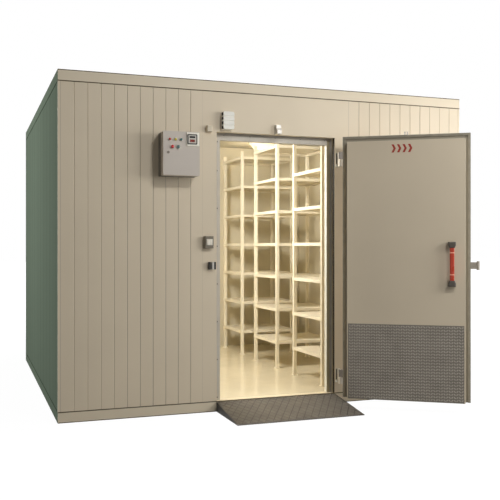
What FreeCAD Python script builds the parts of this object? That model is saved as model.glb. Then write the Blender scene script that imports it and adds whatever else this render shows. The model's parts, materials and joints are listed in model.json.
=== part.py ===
import FreeCAD, Part
import math
import os

# Walk-in cold room built from insulated panels, in millimetres.
# The origin is the centre of the footprint on the ground.
# X runs to the right along the front, Y runs into the room and Z is up.

Vec = FreeCAD.Vector

# Shell, overall sizes over the trims
ROOM_WIDTH = 3468.0
ROOM_DEPTH = 3404.0
ROOM_HEIGHT = 2600.0
WALL_THICKNESS = 100.0
FLOOR_THICKNESS = 75.0
CEILING_THICKNESS = 78.0
PANEL_JOINT = 1.0
PANELS_PER_SIDE = 3

# Ribs pressed into the outer skins
RIB_PITCH = 98.7
GROOVE_WIDTH = 8.0
GROOVE_DEPTH = 3.0

# Metal trims over the edges
TRIM_THICKNESS = 2.0
TOP_TRIM_LEG = 40.0
BASE_TRIM_LAP = 1.0
CORNER_TRIM_LEG = 14.0

# Front wall: the smooth door panel between two ribbed wings
DOOR_PANEL_WIDTH = 1269.0
DOOR_PANEL_OFFSET = 5.5
DOOR_PANEL_LEFT_STRIP = 115.0
DOOR_PANEL_RIGHT_STRIP = 128.0
HEADER_HEIGHT = 320.0
REBATE_MARGIN = 45.0
REBATE_HEIGHT = 58.0
REBATE_DEPTH = 60.0
SEAL_WIDTH = 18.0
SEAL_THICKNESS = 5.0
THRESHOLD_THICKNESS = 3.0

# Door leaf, built shut and then swung open about its hinges
LEAF_PROUD = 35.0
LEAF_SIDE_GAP = 16.0
LEAF_TOP_GAP = 19.0
LEAF_FLOOR_GAP = 6.0
LEAF_CORNER_RADIUS = 6.0
PLUG_SIDE_GAP = 12.0
PLUG_TOP_GAP = 8.0
PLUG_TAPER = 3.0
LEAF_GASKET_WIDTH = 20.0
LEAF_GASKET_THICKNESS = 10.0
GASKET_TO_SEAL = 5.0
OPEN_ANGLE = 146.0

# Hinges
HINGE_FROM_REBATE = 18.0
HINGE_FROM_LEAF = 38.0
HINGE_HEIGHT = 117.0
HINGE_FROM_TOP = 165.0
HINGE_FROM_BOTTOM = 142.0
KNUCKLE_RADIUS = 16.0
PIN_RADIUS = 6.0
PIN_CLEARANCE = 0.1
KNUCKLE_GAP = 0.3
HINGE_PLATE_WIDTH = 44.0
HINGE_PLATE_THICKNESS = 8.0
HINGE_PLATE_GAP = 4.0
HINGE_SLOT_INSET = 4.0
HINGE_SLOT_WIDTH = 10.0
HINGE_SLOT_DEPTH = 5.0
HINGE_SLOT_RISE = 27.0
HINGE_BOLT_RADIUS = 8.0
HINGE_BOLT_HEAD = 5.0
HINGE_BOLT_RISE = 12.0
HINGE_ARM_THICKNESS = 8.0
HINGE_ARM_FROM_AXIS = 3.0
HINGE_ARM_TO_KNUCKLE = 6.0
STRAP_LENGTH = 130.0
STRAP_THICKNESS = 6.0
STRAP_NECK = 46.0

# Fittings on the leaf's inner face
KICK_PLATE_HEIGHT = 597.0
KICK_PLATE_THICKNESS = 2.0
KICK_PLATE_MARGIN = 8.0
KICK_PLATE_LIFT = 2.0
GRIP_FROM_EDGE = 100.0
GRIP_BOTTOM = 988.0
GRIP_LENGTH = 345.0
GRIP_MOUNT_WIDTH = 58.0
GRIP_MOUNT_HEIGHT = 47.0
GRIP_MOUNT_DEPTH = 58.0
GRIP_SHOULDER_HEIGHT = 26.0
GRIP_COLLAR = 3.0
GRIP_BAR_WIDTH = 34.0
GRIP_BAR_DEPTH = 24.0
GRIP_BAR_STANDOFF = 30.0

# Fittings on the leaf's outer face
LATCH_HEIGHT = 1147.0
LATCH_BODY_WIDTH = 110.0
LATCH_BODY_HEIGHT = 70.0
LATCH_BODY_DEPTH = 40.0
LATCH_ARM_THICKNESS = 12.0
LATCH_ARM_HEIGHT = 54.0
LATCH_GROOVE_WIDTH = 6.0
LATCH_GROOVE_DEPTH = 3.0
LATCH_GROOVE_PITCH = 18.0
LATCH_REACH = 60.0
ROLLER_RADIUS = 12.0
ROLLER_HEIGHT = 70.0
ROLLER_GAP = 0.3
PULL_LENGTH = 280.0
PULL_FROM_LATCH = 70.0
PULL_RADIUS = 11.0
PULL_FOOT_RADIUS = 8.0
PULL_STANDOFF = 50.0
CLOSER_WIDTH = 90.0
CLOSER_HEIGHT = 110.0
CLOSER_DEPTH = 38.0
CLOSER_DROP = 8.0
PRONG_WIDTH = 10.0
PRONG_SPACING = 20.0
PRONG_RISE = 41.0
PRONG_THICKNESS = 12.0
PRONG_OFFSET = 22.0

# Fittings on the front wall
KEEPER_WIDTH = 54.0
KEEPER_HEIGHT = 58.0
KEEPER_BASE = 5.0
KEEPER_CHEEK = 8.0
KEEPER_SLOT = 4.0
KEEPER_WEDGE = 28.0
KEEPER_DEPTH = 36.0
HOOK_WIDTH = 44.0
HOOK_PLATE_HEIGHT = 76.0
HOOK_PLATE_THICKNESS = 5.0
HOOK_LIFT = 2.0
HOOK_REACH = 50.0
HOOK_NECK = 32.0
HOOK_TIP_HEIGHT = 30.0
HOOK_SLOPE_HEIGHT = 18.0
HOOK_MARGIN = 2.0
HOOK_ROUND = 4.0
VALVE_WIDTH = 88.0
VALVE_HEIGHT = 140.0
VALVE_BACK = 8.0
VALVE_DEPTH = 60.0
VALVE_LOUVRES = 4
VALVE_RELIEF = 9.0
VALVE_SKIN = 6.0
VALVE_WEB = 8.0
VALVE_VENT_CORNER = 9.0
VALVE_CORNER_RADIUS = 14.0
VALVE_SIDE_GAP = 39.0
VALVE_LIFT = 16.0
CAP_WIDTH = 40.0
CAP_HEIGHT = 50.0
CAP_DEPTH = 36.0
CAP_FROM_REBATE = 67.0
CAP_BELOW_REBATE_TOP = 8.0
SWITCH_WIDTH = 70.0
SWITCH_HEIGHT = 95.0
SWITCH_DEPTH = 48.0
SWITCH_FROM_REBATE = 74.0
SWITCH_LEVEL = 1283.0
ROCKER_WIDTH = 48.0
ROCKER_HEIGHT = 48.0
ROCKER_DEPTH = 7.0
FITTING_ROUND = 5.0

# Control box
BOX_WIDTH = 283.0
BOX_HEIGHT = 331.0
BOX_BODY_DEPTH = 78.0
BOX_GAP = 5.0
BOX_COVER_DEPTH = 72.0
BOX_WALL = 3.0
BOX_FROM_JOINT = 69.0
BOX_BELOW_REBATE_TOP = 36.0
BOX_ROUND = 6.0
BOX_PLATE_MARGIN = 18.0
BOX_PLATE_THICKNESS = 2.0
BOX_HINGE_RADIUS = 5.0
BOX_PIN_RADIUS = 2.0
BOX_HINGE_LENGTH = 36.0
BOX_HINGE_FROM_END = 50.0
CONTROLLER_WIDTH = 98.0
CONTROLLER_HEIGHT = 104.0
CONTROLLER_DEPTH = 9.0
CONTROLLER_FROM_RIGHT = 6.0
CONTROLLER_FROM_TOP = 5.0
LAMP_RADIUS = 12.0
LAMP_DEPTH = 12.0
LAMP_COUNT = 3
LAMP_ROW_SHIFT = 4.0
LAMPS_FROM_TOP = 61.0
BUTTON_RADIUS = 15.5
BUTTON_DEPTH = 16.0
BUTTON_COUNT = 2
BUTTON_ROW_SHIFT = 2.0
BUTTONS_FROM_TOP = 117.0
BEZEL_RING = 3.0
BEZEL_SHARE = 0.4
LOCK_RADIUS = 10.0
LOCK_DEPTH = 6.0
LOCK_FROM_LEFT = 38.0
LOCK_FROM_TOP = 160.0

# Ramp at the doorway
RAMP_SIDE_LAP = 3.0
RAMP_LENGTH = 513.0
RAMP_PLATE = 4.0
RAMP_LIP = 5.0
RAMP_CHEEK = 5.0
RAMP_RIBS = 4

# Shelving units along the right wall
UNIT_COUNT = 3
UNIT_WIDTH = 638.0
UNIT_LENGTH = 650.0
UNIT_FROM_RIGHT_WALL = 441.0
UNITS_FROM_FRONT_WALL = 234.0
UNITS_FROM_BACK_WALL = 188.0
POST_SIZE = 30.0
POST_HEADROOM = 142.0
POST_OVER_SHELF = 59.0
SHELF_COUNT = 7
SHELF_FIRST = 345.0
SHELF_EDGE = 28.0
SHELF_SHEET = 2.0

# Ceiling lamp
CEILING_LAMP_FROM_RIGHT_WALL = 747.0
CEILING_LAMP_FROM_BACK_WALL = 621.0
CEILING_LAMP_RADIUS = 150.0
CEILING_LAMP_HEIGHT = 26.0
BOWL_INSET = 12.0
BOWL_DROP = 55.0
BOWL_FLOOR_SHARE = 0.7

# Worked out from the sizes above
SKIN_X = ROOM_WIDTH / 2 - TRIM_THICKNESS
SKIN_Y = ROOM_DEPTH / 2 - TRIM_THICKNESS
ROOF_TOP = ROOM_HEIGHT - TRIM_THICKNESS
WALL_TOP = ROOF_TOP - CEILING_THICKNESS
INNER_X = SKIN_X - WALL_THICKNESS
INNER_Y = SKIN_Y - WALL_THICKNESS
BASE_TRIM_TOP = FLOOR_THICKNESS + BASE_TRIM_LAP
JOINT_LEFT = DOOR_PANEL_OFFSET - DOOR_PANEL_WIDTH / 2
JOINT_RIGHT = DOOR_PANEL_OFFSET + DOOR_PANEL_WIDTH / 2
REBATE_LEFT = JOINT_LEFT + DOOR_PANEL_LEFT_STRIP
REBATE_RIGHT = JOINT_RIGHT - DOOR_PANEL_RIGHT_STRIP
REBATE_TOP = WALL_TOP - HEADER_HEIGHT
DOORWAY_LEFT = REBATE_LEFT + REBATE_MARGIN
DOORWAY_RIGHT = REBATE_RIGHT - REBATE_MARGIN
DOORWAY_TOP = REBATE_TOP - REBATE_HEIGHT
DOORWAY_CENTRE = (DOORWAY_LEFT + DOORWAY_RIGHT) / 2
LEAF_LEFT = REBATE_LEFT + LEAF_SIDE_GAP
LEAF_RIGHT = REBATE_RIGHT - LEAF_SIDE_GAP
LEAF_SUNK = REBATE_DEPTH - SEAL_THICKNESS - GASKET_TO_SEAL - LEAF_GASKET_THICKNESS
LEAF_BOTTOM = FLOOR_THICKNESS + THRESHOLD_THICKNESS + LEAF_FLOOR_GAP
LEAF_TOP = REBATE_TOP - LEAF_TOP_GAP
PLUG_LEFT = DOORWAY_LEFT + PLUG_SIDE_GAP
PLUG_RIGHT = DOORWAY_RIGHT - PLUG_SIDE_GAP
PLUG_TOP = DOORWAY_TOP - PLUG_TOP_GAP
HINGE_X = REBATE_RIGHT + HINGE_FROM_REBATE
HINGE_PROUD = LEAF_PROUD + HINGE_FROM_LEAF
BOX_RIGHT = JOINT_LEFT - BOX_FROM_JOINT
BOX_LEFT = BOX_RIGHT - BOX_WIDTH
BOX_TOP = REBATE_TOP - BOX_BELOW_REBATE_TOP
BOX_BOTTOM = BOX_TOP - BOX_HEIGHT
BOX_FACE = BOX_BODY_DEPTH + BOX_GAP + BOX_COVER_DEPTH
CONTROLLER_RIGHT = BOX_RIGHT - CONTROLLER_FROM_RIGHT
CONTROLLER_LEFT = CONTROLLER_RIGHT - CONTROLLER_WIDTH
POST_TOP = WALL_TOP - POST_HEADROOM
SHELF_PITCH = (POST_TOP - POST_OVER_SHELF - SHELF_FIRST) / (SHELF_COUNT - 1)
UNIT_RUN = 2 * INNER_Y - UNITS_FROM_FRONT_WALL - UNITS_FROM_BACK_WALL - UNIT_LENGTH
UNIT_PITCH = UNIT_RUN / (UNIT_COUNT - 1)


def front(out):
    """Y of a plane that stands this far out of the front skin."""
    return -SKIN_Y - out


HINGE_AXIS = Vec(HINGE_X, front(HINGE_PROUD), 0)
BOX_HINGE_AXIS = Vec(BOX_RIGHT + BOX_HINGE_RADIUS, front(BOX_BODY_DEPTH + BOX_GAP / 2), 0)


def block(x0, x1, y0, y1, z0, z1):
    """Plain block between two opposite corners, whichever way round each pair is given."""
    low = Vec(min(x0, x1), min(y0, y1), min(z0, z1))
    return Part.makeBox(abs(x1 - x0), abs(y1 - y0), abs(z1 - z0), low)


def upright(points, z0, z1):
    """Prism over a plan outline."""
    corners = [Vec(x, y, z0) for x, y in points]
    face = Part.Face(Part.makePolygon(corners + corners[:1]))
    return face.extrude(Vec(0, 0, z1 - z0))


def across(points, x0, x1):
    """Prism along X from an outline of (y, z) points."""
    corners = [Vec(x0, y, z) for y, z in points]
    face = Part.Face(Part.makePolygon(corners + corners[:1]))
    return face.extrude(Vec(x1 - x0, 0, 0))


def cylinder(radius, start, end):
    return Part.makeCylinder(radius, (end - start).Length, start, end - start)


def rounded(solid, radius, chosen):
    """Rounds the edges for which chosen(edge) is true."""
    edges = [edge for edge in solid.Edges if chosen(edge)]
    return solid.makeFillet(radius, edges)


def along(axis):
    """Test for edges that run along one axis."""

    def test(edge):
        ends = [vertex.Point for vertex in edge.Vertexes]
        if len(ends) < 2:
            return False
        return abs((ends[1] - ends[0]).normalize().dot(axis)) > 0.999

    return test


def at_front(y):
    """Test for edges that lie wholly in the plane at this Y."""

    def test(edge):
        return all(abs(vertex.Point.y - y) < 0.01 for vertex in edge.Vertexes)

    return test


def save(node, solids):
    shape = solids[0] if len(solids) == 1 else Part.makeCompound(solids)
    shape.exportStep("parts/" + node + ".step")


def swung(solids, axis, degrees):
    turned = []
    for solid in solids:
        copy = solid.copy()
        copy.rotate(axis, Vec(0, 0, 1), degrees)
        turned.append(copy)
    return turned


# Each wall's plan is drawn in its own (u, v): u along the wall, v from the outer skin inwards.

def front_plan(u, v):
    return (u - SKIN_X, v - SKIN_Y)


def back_plan(u, v):
    return (u - SKIN_X, SKIN_Y - v)


def left_plan(u, v):
    return (v - SKIN_X, u - SKIN_Y)


def right_plan(u, v):
    return (SKIN_X - v, u - SKIN_Y)


def ribbed_panel(plan, length, start, end, grooves_from):
    """Panel from start to end along a wall of this length, mitred where it reaches a corner."""
    mitre_start = WALL_THICKNESS if start == 0 else 0
    mitre_end = WALL_THICKNESS if end == length else 0
    outline = [(start, 0)]
    first = math.ceil((start - grooves_from + RIB_PITCH / 4) / RIB_PITCH)
    last = math.floor((end - grooves_from - RIB_PITCH / 8) / RIB_PITCH)
    for k in range(first, last + 1):
        u = grooves_from + k * RIB_PITCH
        outline += [(u - GROOVE_WIDTH / 2, 0), (u, GROOVE_DEPTH), (u + GROOVE_WIDTH / 2, 0)]
    outline += [(end, 0), (end - mitre_end, WALL_THICKNESS), (start + mitre_start, WALL_THICKNESS)]
    return upright([plan(u, v) for u, v in outline], FLOOR_THICKNESS, WALL_TOP)


def wall_of_panels(plan, length):
    """A whole wall in equal panels, with open joints between them."""
    panel = length / PANELS_PER_SIDE
    panels = []
    for k in range(PANELS_PER_SIDE):
        start = 0 if k == 0 else k * panel + PANEL_JOINT / 2
        end = length if k == PANELS_PER_SIDE - 1 else (k + 1) * panel - PANEL_JOINT / 2
        panels.append(ribbed_panel(plan, length, start, end, 0))
    return panels


def slabs(z0, z1):
    """Floor or roof in equal slabs across the room, with open joints between them."""
    pitch = 2 * SKIN_X / PANELS_PER_SIDE
    made = []
    for k in range(PANELS_PER_SIDE):
        x0 = -SKIN_X if k == 0 else -SKIN_X + k * pitch + PANEL_JOINT / 2
        x1 = SKIN_X if k == PANELS_PER_SIDE - 1 else -SKIN_X + (k + 1) * pitch - PANEL_JOINT / 2
        made.append(block(x0, x1, -SKIN_Y, SKIN_Y, z0, z1))
    return made


def edge_band(side, width, z0, z1):
    """Band of this width along one outer edge of the room, mitred at both ends."""
    x = ROOM_WIDTH / 2
    y = ROOM_DEPTH / 2
    outlines = {
        "front": [(-x, -y), (x, -y), (x - width, width - y), (width - x, width - y)],
        "back": [(-x, y), (x, y), (x - width, y - width), (width - x, y - width)],
        "left": [(-x, -y), (-x, y), (width - x, y - width), (width - x, width - y)],
        "right": [(x, -y), (x, y), (x - width, y - width), (x - width, width - y)],
    }
    return upright(outlines[side], z0, z1)


def top_trim(side):
    """Angle over the roof's edge: a face down to the wall panels and a leg on the roof."""
    face = edge_band(side, TRIM_THICKNESS, WALL_TOP, ROOM_HEIGHT)
    leg = edge_band(side, TOP_TRIM_LEG, ROOF_TOP, ROOM_HEIGHT)
    return face.fuse(leg).removeSplitter()


def corner_trim(side_x, side_y):
    """Upright angle over one corner, between the base trim and the top trim."""
    x = side_x * ROOM_WIDTH / 2
    y = side_y * ROOM_DEPTH / 2
    leg = CORNER_TRIM_LEG
    thick = TRIM_THICKNESS
    outline = [
        (x, y),
        (x - side_x * leg, y),
        (x - side_x * leg, y - side_y * thick),
        (x - side_x * thick, y - side_y * thick),
        (x - side_x * thick, y - side_y * leg),
        (x, y - side_y * leg),
    ]
    return upright(outline, BASE_TRIM_TOP, WALL_TOP)


def shell():
    width = 2 * SKIN_X
    depth = 2 * SKIN_Y
    inside = front(-WALL_THICKNESS)
    left_end = SKIN_X + JOINT_LEFT
    right_start = SKIN_X + JOINT_RIGHT
    save("floor_panels", slabs(0, FLOOR_THICKNESS))
    save("roof_panels", slabs(WALL_TOP, ROOF_TOP))
    save("front_wall_left", [ribbed_panel(front_plan, width, 0, left_end, left_end)])
    save("front_wall_right", [ribbed_panel(front_plan, width, right_start, width, right_start)])
    save("left_wall_panels", wall_of_panels(left_plan, depth))
    save("right_wall_panels", wall_of_panels(right_plan, depth))
    save("back_wall_panels", wall_of_panels(back_plan, width))
    floor = FLOOR_THICKNESS
    save("door_panel_left", [block(JOINT_LEFT, REBATE_LEFT, front(0), inside, floor, WALL_TOP)])
    save("door_panel_right", [block(REBATE_RIGHT, JOINT_RIGHT, front(0), inside, floor, WALL_TOP)])
    header = block(REBATE_LEFT, REBATE_RIGHT, front(0), inside, REBATE_TOP, WALL_TOP)
    save("door_panel_header", [header])


def trims():
    save("top_trim_front", [top_trim("front")])
    save("base_trim_front", [edge_band("front", TRIM_THICKNESS, 0, BASE_TRIM_TOP)])
    for side in ("left", "right", "back"):
        save("top_trim_" + side, [top_trim(side)])
        save("base_trim_" + side, [edge_band(side, TRIM_THICKNESS, 0, BASE_TRIM_TOP)])
    corners = [corner_trim(sx, sy) for sx in (-1, 1) for sy in (-1, 1)]
    save("corner_trims", corners)


def door_frame():
    """Jambs and head set back in the rebate, with a seal strip along their outer edges."""
    face = front(-REBATE_DEPTH)
    inside = front(-WALL_THICKNESS)
    floor = FLOOR_THICKNESS
    save("door_jamb_left", [block(REBATE_LEFT, DOORWAY_LEFT, face, inside, floor, REBATE_TOP)])
    save("door_jamb_right", [block(DOORWAY_RIGHT, REBATE_RIGHT, face, inside, floor, REBATE_TOP)])
    save("door_head", [block(DOORWAY_LEFT, DOORWAY_RIGHT, face, inside, DOORWAY_TOP, REBATE_TOP)])
    outer = block(REBATE_LEFT, REBATE_RIGHT, face, face - SEAL_THICKNESS, floor, REBATE_TOP)
    inner = block(
        REBATE_LEFT + SEAL_WIDTH,
        REBATE_RIGHT - SEAL_WIDTH,
        face + SEAL_THICKNESS,
        face - 2 * SEAL_THICKNESS,
        0,
        REBATE_TOP - SEAL_WIDTH,
    )
    save("rebate_seal", [outer.cut(inner)])


def threshold():
    """Plate over the floor's edge, narrower between the jambs than in the rebate."""
    seal = front(-REBATE_DEPTH + SEAL_THICKNESS)
    inside = front(-WALL_THICKNESS)
    step = front(-REBATE_DEPTH)
    outline = [
        (REBATE_LEFT, front(0)),
        (REBATE_RIGHT, front(0)),
        (REBATE_RIGHT, seal),
        (REBATE_RIGHT - SEAL_WIDTH, seal),
        (REBATE_RIGHT - SEAL_WIDTH, step),
        (DOORWAY_RIGHT, step),
        (DOORWAY_RIGHT, inside),
        (DOORWAY_LEFT, inside),
        (DOORWAY_LEFT, step),
        (REBATE_LEFT + SEAL_WIDTH, step),
        (REBATE_LEFT + SEAL_WIDTH, seal),
        (REBATE_LEFT, seal),
    ]
    save("threshold", [upright(outline, FLOOR_THICKNESS, FLOOR_THICKNESS + THRESHOLD_THICKNESS)])


def ramp():
    """Sloping plate on ribs, butted to the base trim below the doorway."""
    x0 = REBATE_LEFT - RAMP_SIDE_LAP
    x1 = REBATE_RIGHT + RAMP_SIDE_LAP
    wall = front(TRIM_THICKNESS)
    toe = wall - RAMP_LENGTH
    under = FLOOR_THICKNESS - RAMP_PLATE
    top = FLOOR_THICKNESS
    save("ramp_plate", [across([(wall, under), (wall, top), (toe, RAMP_LIP), (toe, 0)], x0, x1)])
    ribs = []
    pitch = (x1 - x0 - RAMP_CHEEK) / (RAMP_RIBS - 1)
    for k in range(RAMP_RIBS):
        x = x0 + k * pitch
        ribs.append(across([(wall, 0), (wall, under), (toe, 0)], x, x + RAMP_CHEEK))
    save("ramp_ribs", ribs)


def hinge_levels():
    """Bottoms of the upper and the lower hinge."""
    upper = LEAF_TOP - HINGE_FROM_TOP - HINGE_HEIGHT / 2
    lower = LEAF_BOTTOM + HINGE_FROM_BOTTOM - HINGE_HEIGHT / 2
    return (upper, lower)


def hinge_bracket(z):
    """Slotted and bolted plate on the wall with an upright arm, the lower knuckle and the pin."""
    middle = z + HINGE_HEIGHT / 2
    top = z + HINGE_HEIGHT
    x0 = REBATE_RIGHT + HINGE_PLATE_GAP
    face = front(HINGE_PLATE_THICKNESS)
    plate = block(x0, x0 + HINGE_PLATE_WIDTH, front(0), face, z, top)
    slot_x = x0 + HINGE_SLOT_INSET
    slot_back = face + HINGE_SLOT_DEPTH
    slot_top = top - HINGE_SLOT_INSET
    slot = block(slot_x, slot_x + HINGE_SLOT_WIDTH, face, slot_back, z + HINGE_SLOT_RISE, slot_top)
    seat = Vec(slot_x + HINGE_SLOT_WIDTH / 2, face, z + HINGE_BOLT_RISE)
    bolt = cylinder(HINGE_BOLT_RADIUS, seat, seat - Vec(0, HINGE_BOLT_HEAD, 0))
    arm_x = HINGE_X + HINGE_ARM_FROM_AXIS
    arm_end = arm_x + HINGE_ARM_THICKNESS
    arm = block(arm_x, arm_end, front(0), HINGE_AXIS.y, z, middle)
    upper_end = HINGE_AXIS.y + KNUCKLE_RADIUS + HINGE_ARM_TO_KNUCKLE
    upper_arm = block(arm_x, arm_end, front(0), upper_end, middle, top)
    knuckle = cylinder(KNUCKLE_RADIUS, HINGE_AXIS + Vec(0, 0, z), HINGE_AXIS + Vec(0, 0, middle))
    pin = cylinder(PIN_RADIUS, HINGE_AXIS + Vec(0, 0, z), HINGE_AXIS + Vec(0, 0, top))
    return plate.cut(slot).fuse([bolt, arm, upper_arm, knuckle, pin]).removeSplitter()


def hinge_strap(z):
    """Plate on the leaf's outer face with a neck and the upper knuckle, bored for the pin."""
    low = z + HINGE_HEIGHT / 2 + KNUCKLE_GAP
    top = z + HINGE_HEIGHT
    face = front(LEAF_PROUD)
    proud = front(LEAF_PROUD + STRAP_THICKNESS)
    plate = block(LEAF_RIGHT - STRAP_LENGTH, LEAF_RIGHT, face, proud, z, top)
    neck_end = HINGE_AXIS.y
    outline = [
        (LEAF_RIGHT - STRAP_NECK, face),
        (LEAF_RIGHT, face),
        (HINGE_X, neck_end + KNUCKLE_RADIUS),
        (HINGE_X, neck_end - KNUCKLE_RADIUS),
    ]
    neck = upright(outline, low, top)
    knuckle = cylinder(KNUCKLE_RADIUS, HINGE_AXIS + Vec(0, 0, low), HINGE_AXIS + Vec(0, 0, top))
    bore_start = HINGE_AXIS + Vec(0, 0, z)
    bore = cylinder(PIN_RADIUS + PIN_CLEARANCE, bore_start, HINGE_AXIS + Vec(0, 0, top + 1))
    return plate.fuse([neck, knuckle]).cut(bore).removeSplitter()


def leaf_panel():
    """Outer slab of the leaf, which overlaps the doorway and lies in the rebate."""
    slab = block(
        LEAF_LEFT, LEAF_RIGHT, front(LEAF_PROUD), front(-LEAF_SUNK), LEAF_BOTTOM, LEAF_TOP
    )
    return rounded(slab, LEAF_CORNER_RADIUS, at_front(front(LEAF_PROUD)))


def leaf_plug():
    """Inner slab of the leaf, tapered so that it swings out of the doorway."""
    root = front(-LEAF_SUNK)
    inside = front(-WALL_THICKNESS)
    outline = [
        (PLUG_LEFT - PLUG_TAPER, root),
        (PLUG_RIGHT + PLUG_TAPER, root),
        (PLUG_RIGHT, inside),
        (PLUG_LEFT, inside),
    ]
    return upright(outline, LEAF_BOTTOM, PLUG_TOP)


def leaf_gasket():
    """Seal round three edges of the leaf's back, pressing on the frame."""
    back = front(-LEAF_SUNK)
    tip = front(-LEAF_SUNK - LEAF_GASKET_THICKNESS)
    outer = block(LEAF_LEFT, LEAF_RIGHT, back, tip, LEAF_BOTTOM, LEAF_TOP)
    inner = block(
        LEAF_LEFT + LEAF_GASKET_WIDTH,
        LEAF_RIGHT - LEAF_GASKET_WIDTH,
        back - LEAF_GASKET_THICKNESS,
        tip + LEAF_GASKET_THICKNESS,
        0,
        LEAF_TOP - LEAF_GASKET_WIDTH,
    )
    return outer.cut(inner)


def kick_plate():
    face = front(-WALL_THICKNESS)
    low = LEAF_BOTTOM + KICK_PLATE_LIFT
    return block(
        PLUG_LEFT + KICK_PLATE_MARGIN,
        PLUG_RIGHT - KICK_PLATE_MARGIN,
        face,
        face + KICK_PLATE_THICKNESS,
        low,
        low + KICK_PLATE_HEIGHT,
    )


def grip_mount(end, way):
    """End block of the grip: wide from its end inwards (way is 1 up or -1 down), then narrowed to the bar."""
    x = PLUG_LEFT + GRIP_FROM_EDGE
    wide = GRIP_MOUNT_WIDTH / 2
    narrow = GRIP_BAR_WIDTH / 2 + GRIP_COLLAR
    shoulder = end + way * GRIP_SHOULDER_HEIGHT
    inner = end + way * GRIP_MOUNT_HEIGHT
    face = front(-WALL_THICKNESS)
    outline = [
        (x - wide, end),
        (x + wide, end),
        (x + wide, shoulder),
        (x + narrow, inner),
        (x - narrow, inner),
        (x - wide, shoulder),
    ]
    points = [Vec(u, face, z) for u, z in outline]
    mount = Part.Face(Part.makePolygon(points + points[:1])).extrude(Vec(0, GRIP_MOUNT_DEPTH, 0))
    return rounded(mount, 2 * FITTING_ROUND, at_front(face + GRIP_MOUNT_DEPTH))


def grip_mounts():
    """End blocks that carry the upright grip on the leaf's inner face."""
    return [grip_mount(GRIP_BOTTOM, 1), grip_mount(GRIP_BOTTOM + GRIP_LENGTH, -1)]


def grip_bar():
    x = PLUG_LEFT + GRIP_FROM_EDGE
    half = GRIP_BAR_WIDTH / 2
    y0 = front(-WALL_THICKNESS) + GRIP_BAR_STANDOFF
    low = GRIP_BOTTOM + GRIP_MOUNT_HEIGHT
    high = GRIP_BOTTOM + GRIP_LENGTH - GRIP_MOUNT_HEIGHT
    bar = block(x - half, x + half, y0, y0 + GRIP_BAR_DEPTH, low, high)
    return rounded(bar, GRIP_BAR_DEPTH / 3, along(Vec(0, 0, 1)))


def roller_centre():
    out = LEAF_PROUD + LATCH_BODY_DEPTH / 2
    return Vec(LEAF_LEFT - LATCH_REACH, front(out), LATCH_HEIGHT)


def latch():
    """Housing on the leaf's outer face and a grooved arm that reaches past its free edge."""
    face = front(LEAF_PROUD)
    half = LATCH_BODY_HEIGHT / 2
    low = LATCH_HEIGHT - half
    high = LATCH_HEIGHT + half
    x0 = LEAF_LEFT + LATCH_BODY_HEIGHT / 4
    body = block(x0, x0 + LATCH_BODY_WIDTH, face, face - LATCH_BODY_DEPTH, low, high)
    body = rounded(body, FITTING_ROUND, at_front(face - LATCH_BODY_DEPTH))
    centre = roller_centre()
    thin = LATCH_ARM_THICKNESS / 2
    tall = LATCH_ARM_HEIGHT / 2
    back = centre.y + thin
    arm = block(centre.x, x0, centre.y - thin, back, centre.z - tall, centre.z + tall)
    grooves = []
    for side in (-1, 1):
        groove = centre.z + side * LATCH_GROOVE_PITCH / 2 - LATCH_GROOVE_WIDTH / 2
        grooves.append(
            block(centre.x, x0, back - LATCH_GROOVE_DEPTH, back, groove, groove + LATCH_GROOVE_WIDTH)
        )
    arm = arm.cut(grooves)
    room = ROLLER_RADIUS + ROLLER_GAP
    hole = cylinder(room, centre - Vec(0, 0, ROLLER_HEIGHT), centre + Vec(0, 0, ROLLER_HEIGHT))
    return body.fuse(arm.cut(hole)).removeSplitter()


def latch_roller():
    rise = Vec(0, 0, ROLLER_HEIGHT / 2)
    return cylinder(ROLLER_RADIUS, roller_centre() - rise, roller_centre() + rise)


def outer_pull():
    """Bow handle on the leaf's outer face, below the latch."""
    x = LEAF_LEFT + LATCH_BODY_HEIGHT / 4 + LATCH_BODY_WIDTH / 2
    top = LATCH_HEIGHT - PULL_FROM_LATCH
    low = top - PULL_LENGTH
    face = front(LEAF_PROUD)
    out = front(LEAF_PROUD + PULL_STANDOFF)
    inset = 2 * PULL_RADIUS
    bar = cylinder(PULL_RADIUS, Vec(x, out, low), Vec(x, out, top))
    lower = cylinder(PULL_FOOT_RADIUS, Vec(x, face, low + inset), Vec(x, out, low + inset))
    upper = cylinder(PULL_FOOT_RADIUS, Vec(x, face, top - inset), Vec(x, out, top - inset))
    return bar.fuse([lower, upper]).removeSplitter()


def closer():
    """Closer housing near the leaf's top edge, with two prongs for the hook on the wall."""
    face = front(LEAF_PROUD)
    top = LEAF_TOP - CLOSER_DROP
    x = DOORWAY_CENTRE
    half = CLOSER_WIDTH / 2
    body = block(x - half, x + half, face, face - CLOSER_DEPTH, top - CLOSER_HEIGHT, top)
    body = rounded(body, FITTING_ROUND, at_front(face - CLOSER_DEPTH))
    y0 = face - PRONG_OFFSET
    prongs = []
    for side in (-1, 1):
        mid = x + side * PRONG_SPACING / 2
        x0 = mid - PRONG_WIDTH / 2
        prongs.append(
            block(x0, x0 + PRONG_WIDTH, y0, y0 - PRONG_THICKNESS, top, LEAF_TOP + PRONG_RISE)
        )
    return body.fuse(prongs).removeSplitter()


def door():
    leaf = {
        "door_leaf_panel": [leaf_panel()],
        "door_leaf_plug": [leaf_plug()],
        "door_leaf_gasket": [leaf_gasket()],
        "kick_plate": [kick_plate()],
        "grip_mounts": grip_mounts(),
        "grip_bar": [grip_bar()],
        "latch": [latch()],
        "latch_roller": [latch_roller()],
        "outer_pull": [outer_pull()],
        "closer": [closer()],
        "hinge_straps": [hinge_strap(z) for z in hinge_levels()],
    }
    for node, solids in leaf.items():
        save(node, swung(solids, HINGE_AXIS, OPEN_ANGLE))
    save("hinge_brackets", [hinge_bracket(z) for z in hinge_levels()])


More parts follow.
